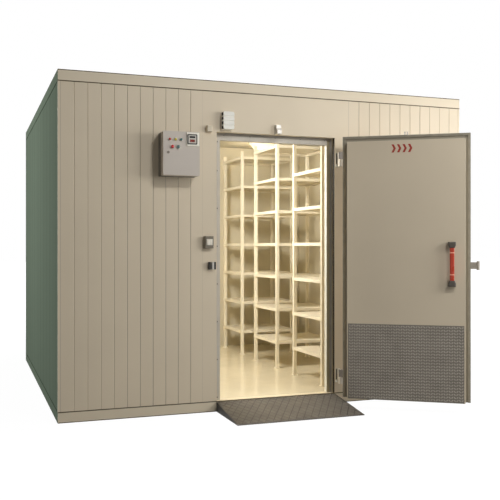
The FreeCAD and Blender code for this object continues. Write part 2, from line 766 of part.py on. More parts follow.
def latch_keeper():
    """Strike of two cheeks and a wedge, in front of which the roller stands when the leaf is shut."""
    x = LEAF_LEFT - LATCH_REACH
    x0 = x - KEEPER_WIDTH / 2
    x1 = x + KEEPER_WIDTH / 2
    wedge_left = x0 + KEEPER_CHEEK + KEEPER_SLOT
    wedge_right = x1 - KEEPER_CHEEK - KEEPER_SLOT
    outline = [
        (x0, front(0)),
        (x0, front(KEEPER_DEPTH)),
        (x0 + KEEPER_CHEEK, front(KEEPER_DEPTH)),
        (x0 + KEEPER_CHEEK, front(KEEPER_BASE)),
        (wedge_left, front(KEEPER_BASE)),
        (x, front(KEEPER_WEDGE)),
        (wedge_right, front(KEEPER_WEDGE)),
        (wedge_right, front(KEEPER_BASE)),
        (x1 - KEEPER_CHEEK, front(KEEPER_BASE)),
        (x1 - KEEPER_CHEEK, front(KEEPER_DEPTH)),
        (x1, front(KEEPER_DEPTH)),
        (x1, front(0)),
    ]
    low = LATCH_HEIGHT - KEEPER_HEIGHT / 2
    save("latch_keeper", [upright(outline, low, low + KEEPER_HEIGHT)])


def closer_hook():
    """Plate over the doorway with a stepped lug that the closer's prongs pass in front of."""
    low = REBATE_TOP + HOOK_LIFT
    high = low + HOOK_PLATE_HEIGHT
    half = HOOK_WIDTH / 2
    x = DOORWAY_CENTRE
    body = block(x - half, x + half, front(0), front(HOOK_PLATE_THICKNESS), low, high)
    tip = low + HOOK_TIP_HEIGHT
    top = high - HOOK_MARGIN
    outline = [
        (front(0), low),
        (front(HOOK_REACH), low),
        (front(HOOK_REACH), tip),
        (front(HOOK_NECK), tip + HOOK_SLOPE_HEIGHT),
        (front(HOOK_NECK), top),
        (front(0), top),
    ]
    lug = across(outline, x - half + HOOK_MARGIN, x + half - HOOK_MARGIN)
    lug = rounded(lug, HOOK_ROUND, at_front(front(HOOK_REACH)))
    save("closer_hook", [body.fuse(lug).removeSplitter()])


def relief_valve():
    """Pressure relief valve over the doorway's left corner: a row of louvred hoods, open at both sides."""
    x = REBATE_LEFT + VALVE_SIDE_GAP
    low = REBATE_TOP + VALVE_LIFT
    high = low + VALVE_HEIGHT
    pitch = VALVE_HEIGHT / VALVE_LOUVRES
    root_out = VALVE_DEPTH - VALVE_RELIEF
    radius = (VALVE_RELIEF ** 2 + pitch ** 2) / (2 * VALVE_RELIEF)
    half_turn = math.asin(pitch / radius) / 2
    middle_out = VALVE_DEPTH - radius + radius * math.cos(half_turn)
    edges = [Part.makeLine(Vec(x, front(0), low), Vec(x, front(root_out), low))]
    vents = []
    for k in range(VALVE_LOUVRES):
        z = low + k * pitch
        root = Vec(x, front(root_out), z)
        nose = Vec(x, front(VALVE_DEPTH), z)
        middle = Vec(x, front(middle_out), z + radius * math.sin(half_turn))
        end = Vec(x, front(root_out), z + pitch)
        edges.append(Part.makeLine(root, nose))
        edges.append(Part.Arc(nose, middle, end).toShape())
        floor = z + VALVE_WEB / 2
        roof = z + pitch - VALVE_WEB / 2
        inner = VALVE_BACK
        outer = root_out - VALVE_SKIN
        corner = VALVE_VENT_CORNER
        outline = [
            (front(inner), floor + corner),
            (front(inner), roof - corner),
            (front(inner + corner), roof),
            (front(outer - corner), roof),
            (front(outer), roof - corner),
            (front(outer), floor + corner),
            (front(outer - corner), floor),
            (front(inner + corner), floor),
        ]
        vents.append(across(outline, x, x + VALVE_WIDTH))
    edges.append(Part.makeLine(Vec(x, front(root_out), high), Vec(x, front(0), high)))
    edges.append(Part.makeLine(Vec(x, front(0), high), Vec(x, front(0), low)))
    hoods = Part.Face(Part.Wire(edges)).extrude(Vec(VALVE_WIDTH, 0, 0))
    bounds = block(x, x + VALVE_WIDTH, front(0), front(VALVE_DEPTH), low, high)
    bounds = rounded(bounds, VALVE_CORNER_RADIUS, along(Vec(0, 1, 0)))
    save("relief_valve", [hoods.common(bounds).cut(vents)])


def fitting(x, width, level, height, depth, seat):
    """Rounded box on a face that stands out by seat, centred on x, from level upwards."""
    face = front(seat + depth)
    body = block(x - width / 2, x + width / 2, front(seat), face, level, level + height)
    return rounded(body, FITTING_ROUND, at_front(face))


def wall_fittings():
    cap_x = REBATE_LEFT - CAP_FROM_REBATE
    cap_level = REBATE_TOP - CAP_BELOW_REBATE_TOP
    save("wall_cap", [fitting(cap_x, CAP_WIDTH, cap_level, CAP_HEIGHT, CAP_DEPTH, 0)])
    switch_x = REBATE_LEFT - SWITCH_FROM_REBATE
    housing = fitting(switch_x, SWITCH_WIDTH, SWITCH_LEVEL, SWITCH_HEIGHT, SWITCH_DEPTH, 0)
    save("light_switch", [housing])
    rocker_level = SWITCH_LEVEL + (SWITCH_HEIGHT - ROCKER_HEIGHT) / 2
    rocker = fitting(switch_x, ROCKER_WIDTH, rocker_level, ROCKER_HEIGHT, ROCKER_DEPTH, SWITCH_DEPTH)
    save("switch_rocker", [rocker])


def box_hinge_levels():
    upper = BOX_TOP - BOX_HINGE_FROM_END - BOX_HINGE_LENGTH
    return (upper, BOX_BOTTOM + BOX_HINGE_FROM_END)


def control_box_body():
    """Open tray screwed to the wall, with half knuckles and pins on its right side."""
    rim = front(BOX_BODY_DEPTH)
    outer = block(BOX_LEFT, BOX_RIGHT, front(0), rim, BOX_BOTTOM, BOX_TOP)
    outer = rounded(outer, BOX_ROUND, along(Vec(0, 1, 0)))
    pocket = block(
        BOX_LEFT + BOX_WALL,
        BOX_RIGHT - BOX_WALL,
        front(BOX_WALL),
        rim - BOX_WALL,
        BOX_BOTTOM + BOX_WALL,
        BOX_TOP - BOX_WALL,
    )
    tray = outer.cut(rounded(pocket, BOX_ROUND / 2, along(Vec(0, 1, 0))))
    axis = BOX_HINGE_AXIS
    for z in box_hinge_levels():
        middle = z + BOX_HINGE_LENGTH / 2
        knuckle = cylinder(BOX_HINGE_RADIUS, axis + Vec(0, 0, z), axis + Vec(0, 0, middle))
        foot = block(BOX_RIGHT, axis.x, axis.y, axis.y + 2 * BOX_HINGE_RADIUS, z, middle)
        pin = cylinder(BOX_PIN_RADIUS, axis + Vec(0, 0, z), axis + Vec(0, 0, z + BOX_HINGE_LENGTH))
        tray = tray.fuse([knuckle, foot, pin])
    return tray.removeSplitter()


def control_box_cover():
    """Deep cover with its open side to the wall, hung on the pins."""
    rim = front(BOX_BODY_DEPTH + BOX_GAP)
    face = front(BOX_FACE)
    outer = block(BOX_LEFT, BOX_RIGHT, rim, face, BOX_BOTTOM, BOX_TOP)
    outer = rounded(outer, BOX_ROUND, along(Vec(0, 1, 0)))
    pocket = block(
        BOX_LEFT + BOX_WALL,
        BOX_RIGHT - BOX_WALL,
        rim + BOX_WALL,
        face + BOX_WALL,
        BOX_BOTTOM + BOX_WALL,
        BOX_TOP - BOX_WALL,
    )
    cover = outer.cut(rounded(pocket, BOX_ROUND / 2, along(Vec(0, 1, 0))))
    axis = BOX_HINGE_AXIS
    for z in box_hinge_levels():
        low = z + BOX_HINGE_LENGTH / 2 + KNUCKLE_GAP
        top = z + BOX_HINGE_LENGTH
        knuckle = cylinder(BOX_HINGE_RADIUS, axis + Vec(0, 0, low), axis + Vec(0, 0, top))
        foot = block(BOX_RIGHT, axis.x, axis.y, axis.y - 2 * BOX_HINGE_RADIUS, low, top)
        bore_start = axis + Vec(0, 0, z)
        bore = cylinder(BOX_PIN_RADIUS + PIN_CLEARANCE, bore_start, axis + Vec(0, 0, top + 1))
        cover = cover.fuse([knuckle, foot]).cut(bore)
    return cover.removeSplitter()


def cover_row(count, shift):
    """X places of a row that is spread evenly between the cover's left edge and the controller."""
    free = CONTROLLER_LEFT - BOX_LEFT
    pitch = free / (LAMP_COUNT + 1)
    middle = BOX_LEFT + free / 2 + shift
    return [middle + (k - (count - 1) / 2) * pitch for k in range(count)]


def knob(x, radius, depth, from_top):
    """Round fitting on the cover's face: a low bezel and a narrower cap that stands out of it."""
    start = Vec(x, front(BOX_FACE), BOX_TOP - from_top)
    bezel = cylinder(radius, start, start - Vec(0, depth * BEZEL_SHARE, 0))
    cap = cylinder(radius - BEZEL_RING, start, start - Vec(0, depth, 0))
    return bezel.fuse(cap).removeSplitter()


def control_box():
    save("control_box_body", [control_box_body()])
    margin = BOX_PLATE_MARGIN
    plate = block(
        BOX_LEFT + margin,
        BOX_RIGHT - margin,
        front(BOX_WALL),
        front(BOX_WALL + BOX_PLATE_THICKNESS),
        BOX_BOTTOM + margin,
        BOX_TOP - margin,
    )
    save("mounting_plate", [plate])
    save("control_box_cover", [control_box_cover()])
    top = BOX_TOP - CONTROLLER_FROM_TOP
    controller = block(
        CONTROLLER_LEFT,
        CONTROLLER_RIGHT,
        front(BOX_FACE),
        front(BOX_FACE + CONTROLLER_DEPTH),
        top - CONTROLLER_HEIGHT,
        top,
    )
    edge = front(BOX_FACE + CONTROLLER_DEPTH)
    save("temperature_controller", [rounded(controller, CONTROLLER_DEPTH / 3, at_front(edge))])
    lamps = cover_row(LAMP_COUNT, LAMP_ROW_SHIFT)
    save("indicator_lamps", [knob(x, LAMP_RADIUS, LAMP_DEPTH, LAMPS_FROM_TOP) for x in lamps])
    buttons = cover_row(BUTTON_COUNT, BUTTON_ROW_SHIFT)
    save("push_buttons", [knob(x, BUTTON_RADIUS, BUTTON_DEPTH, BUTTONS_FROM_TOP) for x in buttons])
    lock = Vec(BOX_LEFT + LOCK_FROM_LEFT, front(BOX_FACE), BOX_TOP - LOCK_FROM_TOP)
    save("cover_lock", [cylinder(LOCK_RADIUS, lock, lock - Vec(0, LOCK_DEPTH, 0))])


def shelf(x0, y0, top):
    """Sheet shelf with turned-down edges and corners notched round the posts."""
    x1 = x0 + UNIT_WIDTH
    y1 = y0 + UNIT_LENGTH
    board = block(x0, x1, y0, y1, top - SHELF_EDGE, top)
    notches = []
    for x in (x0, x1 - POST_SIZE):
        for y in (y0, y1 - POST_SIZE):
            notches.append(block(x, x + POST_SIZE, y, y + POST_SIZE, 0, POST_TOP))
    inset = POST_SIZE + SHELF_SHEET
    hollow = block(
        x0 + inset, x1 - inset, y0 + inset, y1 - inset, top - 2 * SHELF_EDGE, top - SHELF_SHEET
    )
    return board.cut(notches + [hollow])


def shelving():
    """Units of square posts and notched shelves, standing in a row along the right wall."""
    x1 = INNER_X - UNIT_FROM_RIGHT_WALL
    x0 = x1 - UNIT_WIDTH
    posts = []
    shelves = []
    for unit in range(UNIT_COUNT):
        y0 = UNITS_FROM_FRONT_WALL - INNER_Y + unit * UNIT_PITCH
        y1 = y0 + UNIT_LENGTH
        for x in (x0, x1 - POST_SIZE):
            for y in (y0, y1 - POST_SIZE):
                posts.append(block(x, x + POST_SIZE, y, y + POST_SIZE, FLOOR_THICKNESS, POST_TOP))
        for k in range(SHELF_COUNT):
            shelves.append(shelf(x0, y0, SHELF_FIRST + k * SHELF_PITCH))
    save("shelf_posts", posts)
    save("shelves", shelves)


def ceiling_lamp():
    """Round base under the ceiling with a shallow bowl below it, whose side tapers to a flat floor."""
    x = INNER_X - CEILING_LAMP_FROM_RIGHT_WALL
    top = Vec(x, INNER_Y - CEILING_LAMP_FROM_BACK_WALL, WALL_TOP)
    rim = top - Vec(0, 0, CEILING_LAMP_HEIGHT)
    save("ceiling_lamp_base", [cylinder(CEILING_LAMP_RADIUS, rim, top)])
    reach = CEILING_LAMP_RADIUS - BOWL_INSET
    floor = rim - Vec(0, 0, BOWL_DROP)
    profile = [rim, rim + Vec(reach, 0, 0), floor + Vec(reach * BOWL_FLOOR_SHARE, 0, 0), floor, rim]
    face = Part.Face(Part.makePolygon(profile))
    save("ceiling_lamp_bowl", [face.revolve(rim, Vec(0, 0, 1), 360)])


os.makedirs("parts", exist_ok=True)
shell()
trims()
door_frame()
threshold()
ramp()
door()
latch_keeper()
closer_hook()
relief_valve()
wall_fittings()
control_box()
shelving()
ceiling_lamp()
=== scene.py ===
import json
import math

import bmesh
import bpy
from mathutils import Matrix, Vector

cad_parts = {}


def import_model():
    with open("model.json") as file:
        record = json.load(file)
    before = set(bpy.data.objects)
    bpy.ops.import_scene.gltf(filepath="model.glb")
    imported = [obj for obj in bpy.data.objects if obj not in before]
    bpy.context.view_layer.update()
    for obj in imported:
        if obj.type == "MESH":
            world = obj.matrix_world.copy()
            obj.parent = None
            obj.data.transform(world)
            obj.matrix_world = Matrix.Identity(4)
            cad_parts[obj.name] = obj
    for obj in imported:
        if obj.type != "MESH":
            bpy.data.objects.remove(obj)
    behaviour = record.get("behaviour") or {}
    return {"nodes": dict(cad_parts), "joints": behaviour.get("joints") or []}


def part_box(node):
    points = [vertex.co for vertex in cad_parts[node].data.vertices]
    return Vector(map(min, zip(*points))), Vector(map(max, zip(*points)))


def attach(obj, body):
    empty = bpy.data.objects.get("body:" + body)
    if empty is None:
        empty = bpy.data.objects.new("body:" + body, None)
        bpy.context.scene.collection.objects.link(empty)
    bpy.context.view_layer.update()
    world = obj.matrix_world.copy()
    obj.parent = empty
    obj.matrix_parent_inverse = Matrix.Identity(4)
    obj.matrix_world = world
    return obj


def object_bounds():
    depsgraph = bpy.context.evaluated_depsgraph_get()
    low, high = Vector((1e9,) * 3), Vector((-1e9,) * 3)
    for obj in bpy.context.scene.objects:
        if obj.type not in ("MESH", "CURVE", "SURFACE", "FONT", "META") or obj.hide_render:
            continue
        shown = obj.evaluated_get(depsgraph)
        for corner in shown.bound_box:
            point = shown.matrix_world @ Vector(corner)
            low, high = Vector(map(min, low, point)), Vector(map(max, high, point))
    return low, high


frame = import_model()

# Looks of a walk-in cold room, in metres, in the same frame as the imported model.
# X runs to the right along the front, Y into the room, Z up from the ground.

CAD_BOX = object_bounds()
ROOM = "room"
DOOR = "door"
COVER = "control_cover"
ACROSS = Vector((1, 0, 0))
UP = Vector((0, 0, 1))
FACING = Vector((0, -1, 0))


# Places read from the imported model

def joint_named(name):
    return next(joint for joint in frame["joints"] if joint["name"] == name)


SWING = joint_named("door_swing")
PIVOT = Matrix.Translation(Vector(SWING["pos_m"]))
OPENED = PIVOT @ Matrix.Rotation(math.radians(-SWING["range_deg"][0]), 4, "Z") @ PIVOT.inverted()
SHUT = OPENED.inverted()


SAME_POINT = 1e-5


def corners(points):
    """Lowest and highest corner of the box round some points."""
    low = Vector([min(point[i] for point in points) for i in range(3)])
    high = Vector([max(point[i] for point in points) for i in range(3)])
    return low, high


def shut_box(node):
    """Lowest and highest corner of a node of the leaf, as if the leaf were shut."""
    return corners([SHUT @ vertex.co for vertex in frame["nodes"][node].data.vertices])


def islands(node):
    """Low and high corner of each separate solid in a node, from left to right."""
    mesh = bmesh.new()
    mesh.from_mesh(frame["nodes"][node].data)
    bmesh.ops.remove_doubles(mesh, verts=mesh.verts, dist=SAME_POINT)
    left = set(mesh.verts)
    boxes = []
    while left:
        stack = [left.pop()]
        found = list(stack)
        while stack:
            for edge in stack.pop().link_edges:
                for vertex in edge.verts:
                    if vertex in left:
                        left.remove(vertex)
                        stack.append(vertex)
                        found.append(vertex)
        boxes.append(corners([vertex.co for vertex in found]))
    mesh.free()
    return sorted(boxes, key=lambda box: tuple(box[0]))


# Node materials

def tint(red, green, blue):
    """Linear colour of a screen colour given from 0 to 255."""
    shares = [channel / 255 for channel in (red, green, blue)]
    linear = [s / 12.92 if s <= 0.04045 else ((s + 0.055) / 1.055) ** 2.4 for s in shares]
    return (*linear, 1)


def scaled(colour, factor):
    return tuple(min(1, channel * factor) for channel in colour[:3]) + (1,)


class Shader:
    """A node material in the making, with its textures in the object's own metres."""

    def __init__(self, name):
        self.material = bpy.data.materials.new(name)
        self.material.use_nodes = True
        self.tree = self.material.node_tree
        self.surface = self.tree.nodes["Principled BSDF"]
        coordinates = self.add("ShaderNodeTexCoord")
        self.place = coordinates.outputs["Object"]
        self.normal = coordinates.outputs["Normal"]

    def add(self, kind, **settings):
        node = self.tree.nodes.new(kind)
        for key, value in settings.items():
            setattr(node, key, value)
        return node

    def put(self, socket, value):
        if isinstance(value, bpy.types.NodeSocket):
            self.tree.links.new(value, socket)
        else:
            socket.default_value = value

    def math(self, operation, first, second=0.0):
        node = self.add("ShaderNodeMath", operation=operation)
        self.put(node.inputs[0], first)
        self.put(node.inputs[1], second)
        return node.outputs[0]

    def axis(self, name):
        """The object's own X, Y or Z."""
        node = self.add("ShaderNodeSeparateXYZ")
        self.put(node.inputs[0], self.place)
        return node.outputs[name]

    def noise(self, scale, detail=2.0, stretch=(1, 1, 1)):
        """Noise about 0.5, with scale in waves to the metre, divided along each axis by stretch."""
        mapping = self.add("ShaderNodeMapping", vector_type="TEXTURE")
        self.put(mapping.inputs["Vector"], self.place)
        mapping.inputs["Scale"].default_value = stretch
        node = self.add("ShaderNodeTexNoise")
        self.put(node.inputs["Vector"], mapping.outputs[0])
        node.inputs["Scale"].default_value = scale
        node.inputs["Detail"].default_value = detail
        return node.outputs["Fac"]

    def span(self, value, start, end, low, high, smooth=False):
        """Maps value from start..end onto low..high, clamped."""
        node = self.add("ShaderNodeMapRange")
        if smooth:
            node.interpolation_type = "SMOOTHSTEP"
        names = ("Value", "From Min", "From Max", "To Min", "To Max")
        for name, given in zip(names, (value, start, end, low, high)):
            self.put(node.inputs[name], given)
        return node.outputs["Result"]

    def mix(self, share, first, second):
        node = self.add("ShaderNodeMix", data_type="RGBA")
        self.put(node.inputs[0], share)
        self.put(node.inputs[6], first)
        self.put(node.inputs[7], second)
        return node.outputs[2]

    def colour(self, value):
        self.put(self.surface.inputs["Base Color"], value)

    def roughness(self, value):
        self.put(self.surface.inputs["Roughness"], value)

    def bump(self, height, distance):
        node = self.add("ShaderNodeBump")
        node.inputs["Distance"].default_value = distance
        self.put(node.inputs["Height"], height)
        self.put(self.surface.inputs["Normal"], node.outputs["Normal"])

    def set(self, **values):
        for key, value in values.items():
            self.surface.inputs[key.replace("_", " ")].default_value = value


NOISE_SPAN = (0.3, 0.7)
MOTTLE_DETAIL = 3.0


def mottled(shader, colour, spread, scale, stretch=(1, 1, 1)):
    """A colour that drifts a little lighter and darker over the surface."""
    drift = shader.span(shader.noise(scale, MOTTLE_DETAIL, stretch), *NOISE_SPAN, 0.0, 1.0)
    return shader.mix(drift, scaled(colour, 1 - spread), scaled(colour, 1 + spread))


GROOVE_PITCH = 0.0987
GROOVE_EDGE = (0.0015, 0.0045)
GROOVE_SHADE = 0.62
GROOVE_DRIFT = (3.1, 0.0, (1, 1, 40))
GROOVE_DRIFT_SPAN = (0.35, 0.65)
GROOVE_DEEP = (0.25, 0.75)
WALL_LINE = 1.66
WALL_STEP = 0.001
REVEAL_START = 1.6985
REVEAL_STEP = 0.0005
LINE_EDGE = 0.006
OUTER_FACING = 0.7
PLAIN_DRIFT = (0.025, 1.7, (1, 1, 1))
# Vertical bands of lighter and darker tone on the green walls: painted shade for the ribs seen at a grazing
# angle.
RIB_SHADE_BANDS = (0.07, 7.0, (1, 1, 60))
SKIN_ROUGH = (0.42, 0.54)
SKIN_GRAIN = 420.0
SKIN_DEPTH = 0.00012


def grooved(shader, colour, shade, across, start):
    """A colour with painted shade along its grooves, which repeat along an axis; the shade is deeper in
    some places than in others.
    """
    turns = shader.math("DIVIDE", shader.math("SUBTRACT", shader.axis(across), start), GROOVE_PITCH)
    wave = shader.math("FRACT", shader.math("ADD", turns, 0.5))
    away = shader.math("ABSOLUTE", shader.math("SUBTRACT", wave, 0.5))
    distance = shader.math("MULTIPLY", away, GROOVE_PITCH)
    deep = shader.span(shader.noise(*GROOVE_DRIFT), *GROOVE_DRIFT_SPAN, *GROOVE_DEEP)
    near = shader.span(distance, *GROOVE_EDGE, 1.0, 0.0, smooth=True)
    return shader.mix(shader.math("MULTIPLY", near, deep), colour, shade)


def rimmed(shader, colour, rim):
    """A colour with another one on the highest and lowest rim of the room."""
    above = shader.math("GREATER_THAN", shader.axis("Z"), CAD_BOX[1][2] - LINE_EDGE)
    below = shader.math("LESS_THAN", shader.axis("Z"), LINE_EDGE)
    return shader.mix(shader.math("MAXIMUM", above, below), colour, rim)


def faced(shader, colour, outer):
    """A colour with another one on the outer face of the leaf."""
    facing = shader.add("ShaderNodeVectorMath", operation="DOT_PRODUCT")
    shader.put(facing.inputs[0], shader.normal)
    shader.put(facing.inputs[1], OPENED.to_3x3() @ FACING)
    return shader.mix(shader.math("GREATER_THAN", facing.outputs["Value"], OUTER_FACING), colour, outer)


def turned_in(shader, colour, reveal):
    """A colour with another one on the faces that turn into the wall behind its front, used as painted
    shade in the rebate.
    """
    reach = shader.math("ABSOLUTE", shader.axis("Y"))
    turned = shader.span(reach, REVEAL_START, REVEAL_START + REVEAL_STEP, 1.0, 0.0)
    return shader.mix(turned, colour, mottled(shader, reveal, 0.1, 9.0))


def lined(shader, colour, inside):
    """A colour with another one indoors, from the middle of the room out into the walls."""
    reach_x = shader.math("ABSOLUTE", shader.axis("X"))
    reach_y = shader.math("ABSOLUTE", shader.axis("Y"))
    reach = shader.math("MAXIMUM", reach_x, reach_y)
    outdoors = shader.span(reach, WALL_LINE, WALL_LINE + WALL_STEP, 0.0, 1.0)
    return shader.mix(outdoors, mottled(shader, inside, 0.03, 2.3), colour)


def skin(
    name, outside, inside=None, across=None, groove_start=0.0, gloss=0.35,
    reveal=None, drift=PLAIN_DRIFT, rear=None, rims=None, outer=None,
):
    """Coated steel skin: satin, faintly mottled, with painted shade in the grooves, another colour indoors.

    The colour rear goes to what lies in the rear half, and reveal, rims and outer as their functions say.
    """
    shader = Shader(name)
    spread, scale, stretch = drift
    colour = mottled(shader, outside, spread, scale, stretch=stretch)
    if rear is not None:
        colour = shader.mix(shader.math("GREATER_THAN", shader.axis("Y"), 0.0), colour, rear)
    if rims is not None:
        colour = rimmed(shader, colour, rims)
    if outer is not None:
        colour = faced(shader, colour, outer)
    if across is not None:
        colour = grooved(shader, colour, scaled(outside, GROOVE_SHADE), across, groove_start)
    if reveal is not None:
        colour = turned_in(shader, colour, reveal)
    if inside is not None:
        colour = lined(shader, colour, inside)
    shader.colour(colour)
    shader.roughness(shader.span(shader.noise(5.0, 4.0), *NOISE_SPAN, *SKIN_ROUGH))
    shader.bump(shader.noise(SKIN_GRAIN, 3.0), SKIN_DEPTH)
    shader.set(Specular_IOR_Level=gloss)
    return shader.material


PAINT_GRAIN = 500.0
PAINT_DEPTH = 0.0001
PAINT_ROUGH_SPREAD = 0.05


def paint(name, colour, rough=0.45, spread=0.03, scale=4.0, sheen=0.4):
    """Paint or moulded plastic with a fine surface grain."""
    shader = Shader(name)
    shader.colour(mottled(shader, colour, spread, scale))
    wear_and_highlight = shader.noise(scale * 3, 4.0)
    shader.roughness(shader.span(wear_and_highlight, *NOISE_SPAN, rough - PAINT_ROUGH_SPREAD, rough + PAINT_ROUGH_SPREAD))
    shader.bump(shader.noise(PAINT_GRAIN, 2.0), PAINT_DEPTH)
    shader.set(Specular_IOR_Level=sheen)
    return shader.material


METAL_GRAIN = 260.0
METAL_DEPTH = 0.00008
METAL_WEAR = (0.45, 0.75, 0.0, 0.35)
METAL_WORN_SHADE = 0.75
METAL_ROUGH_SPREAD = (0.07, 0.1)


def metal(name, colour, rough=0.35, stretch=(1, 1, 1), metallic=0.85, spread=0.08, inner=None):
    """Brushed or cast metal, with its grain along the axis that stretch lengthens.

    With inner, a pair of an X place and a colour, the faces up to that place take that colour: painted
    light on the right jamb's side, painted shade on the hook's side.
    """
    shader = Shader(name)
    grain = shader.noise(METAL_GRAIN, 4.0, stretch)
    wear_and_highlight = shader.noise(9.0, 4.0)
    share = shader.span(grain, *NOISE_SPAN, 0.0, 1.0)
    base = shader.mix(share, scaled(colour, 1 - spread), scaled(colour, 1 + spread))
    base = shader.mix(shader.span(wear_and_highlight, *METAL_WEAR), base, scaled(colour, METAL_WORN_SHADE))
    if inner is not None:
        place, tone = inner
        before = shader.math("LESS_THAN", shader.axis("X"), place)
        base = shader.mix(before, base, mottled(shader, tone, 0.02, 9.0))
    shader.colour(base)
    less, more = METAL_ROUGH_SPREAD
    shader.roughness(shader.span(wear_and_highlight, *NOISE_SPAN, rough - less, rough + more))
    shader.bump(grain, METAL_DEPTH)
    shader.set(Metallic=metallic)
    return shader.material


def rubber(name, colour):
    shader = Shader(name)
    shader.colour(mottled(shader, colour, 0.12, 14.0))
    shader.roughness(shader.span(shader.noise(30.0, 3.0), *NOISE_SPAN, 0.62, 0.82))
    shader.bump(shader.noise(900.0, 2.0), 0.0001)
    shader.set(Specular_IOR_Level=0.25)
    return shader.material


def glow(name, colour, strength):
    """A lit part that shines in its own colour."""
    shader = Shader(name)
    shader.colour(mottled(shader, colour, 0.05, 30.0))
    shader.roughness(0.3)
    shader.put(shader.surface.inputs["Emission Color"], mottled(shader, colour, 0.03, 12.0))
    shader.set(Emission_Strength=strength)
    return shader.material


def two_toned(name, dark, light, node, start, end):
    """Dark metal with a light part between two shares of a node's width."""
    low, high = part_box(node)
    width = high.x - low.x
    shader = Shader(name)
    along = shader.axis("X")
    after = shader.math("GREATER_THAN", along, low.x + start * width)
    before = shader.math("LESS_THAN", along, low.x + end * width)
    share = shader.math("MULTIPLY", after, before)
    shader.colour(shader.mix(share, mottled(shader, dark, 0.1, 20.0), mottled(shader, light, 0.05, 20.0)))
    shader.roughness(shader.span(shader.noise(40.0, 3.0), *NOISE_SPAN, 0.3, 0.5))
    shader.set(Metallic=0.4)
    return shader.material


BEIGE = tint(228, 213, 187)
BEIGE_TRIM = tint(230, 216, 190)
GREEN = tint(141, 157, 138)
CREAM = tint(225, 215, 190)
# LEAF_SKIN is the wall's beige darkened: painted shade for the leaf turned away from the light.
LEAF_SKIN = tint(206, 192, 168)
LINE_GREEN = tint(84, 96, 80)

left_wing_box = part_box("front_wall_left")
right_wing_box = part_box("front_wall_right")
front_corner = left_wing_box[0].y

LEFT_FACE = 0.001


def left_side(node):
    """X place just past the left side of a node."""
    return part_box(node)[0].x + LEFT_FACE


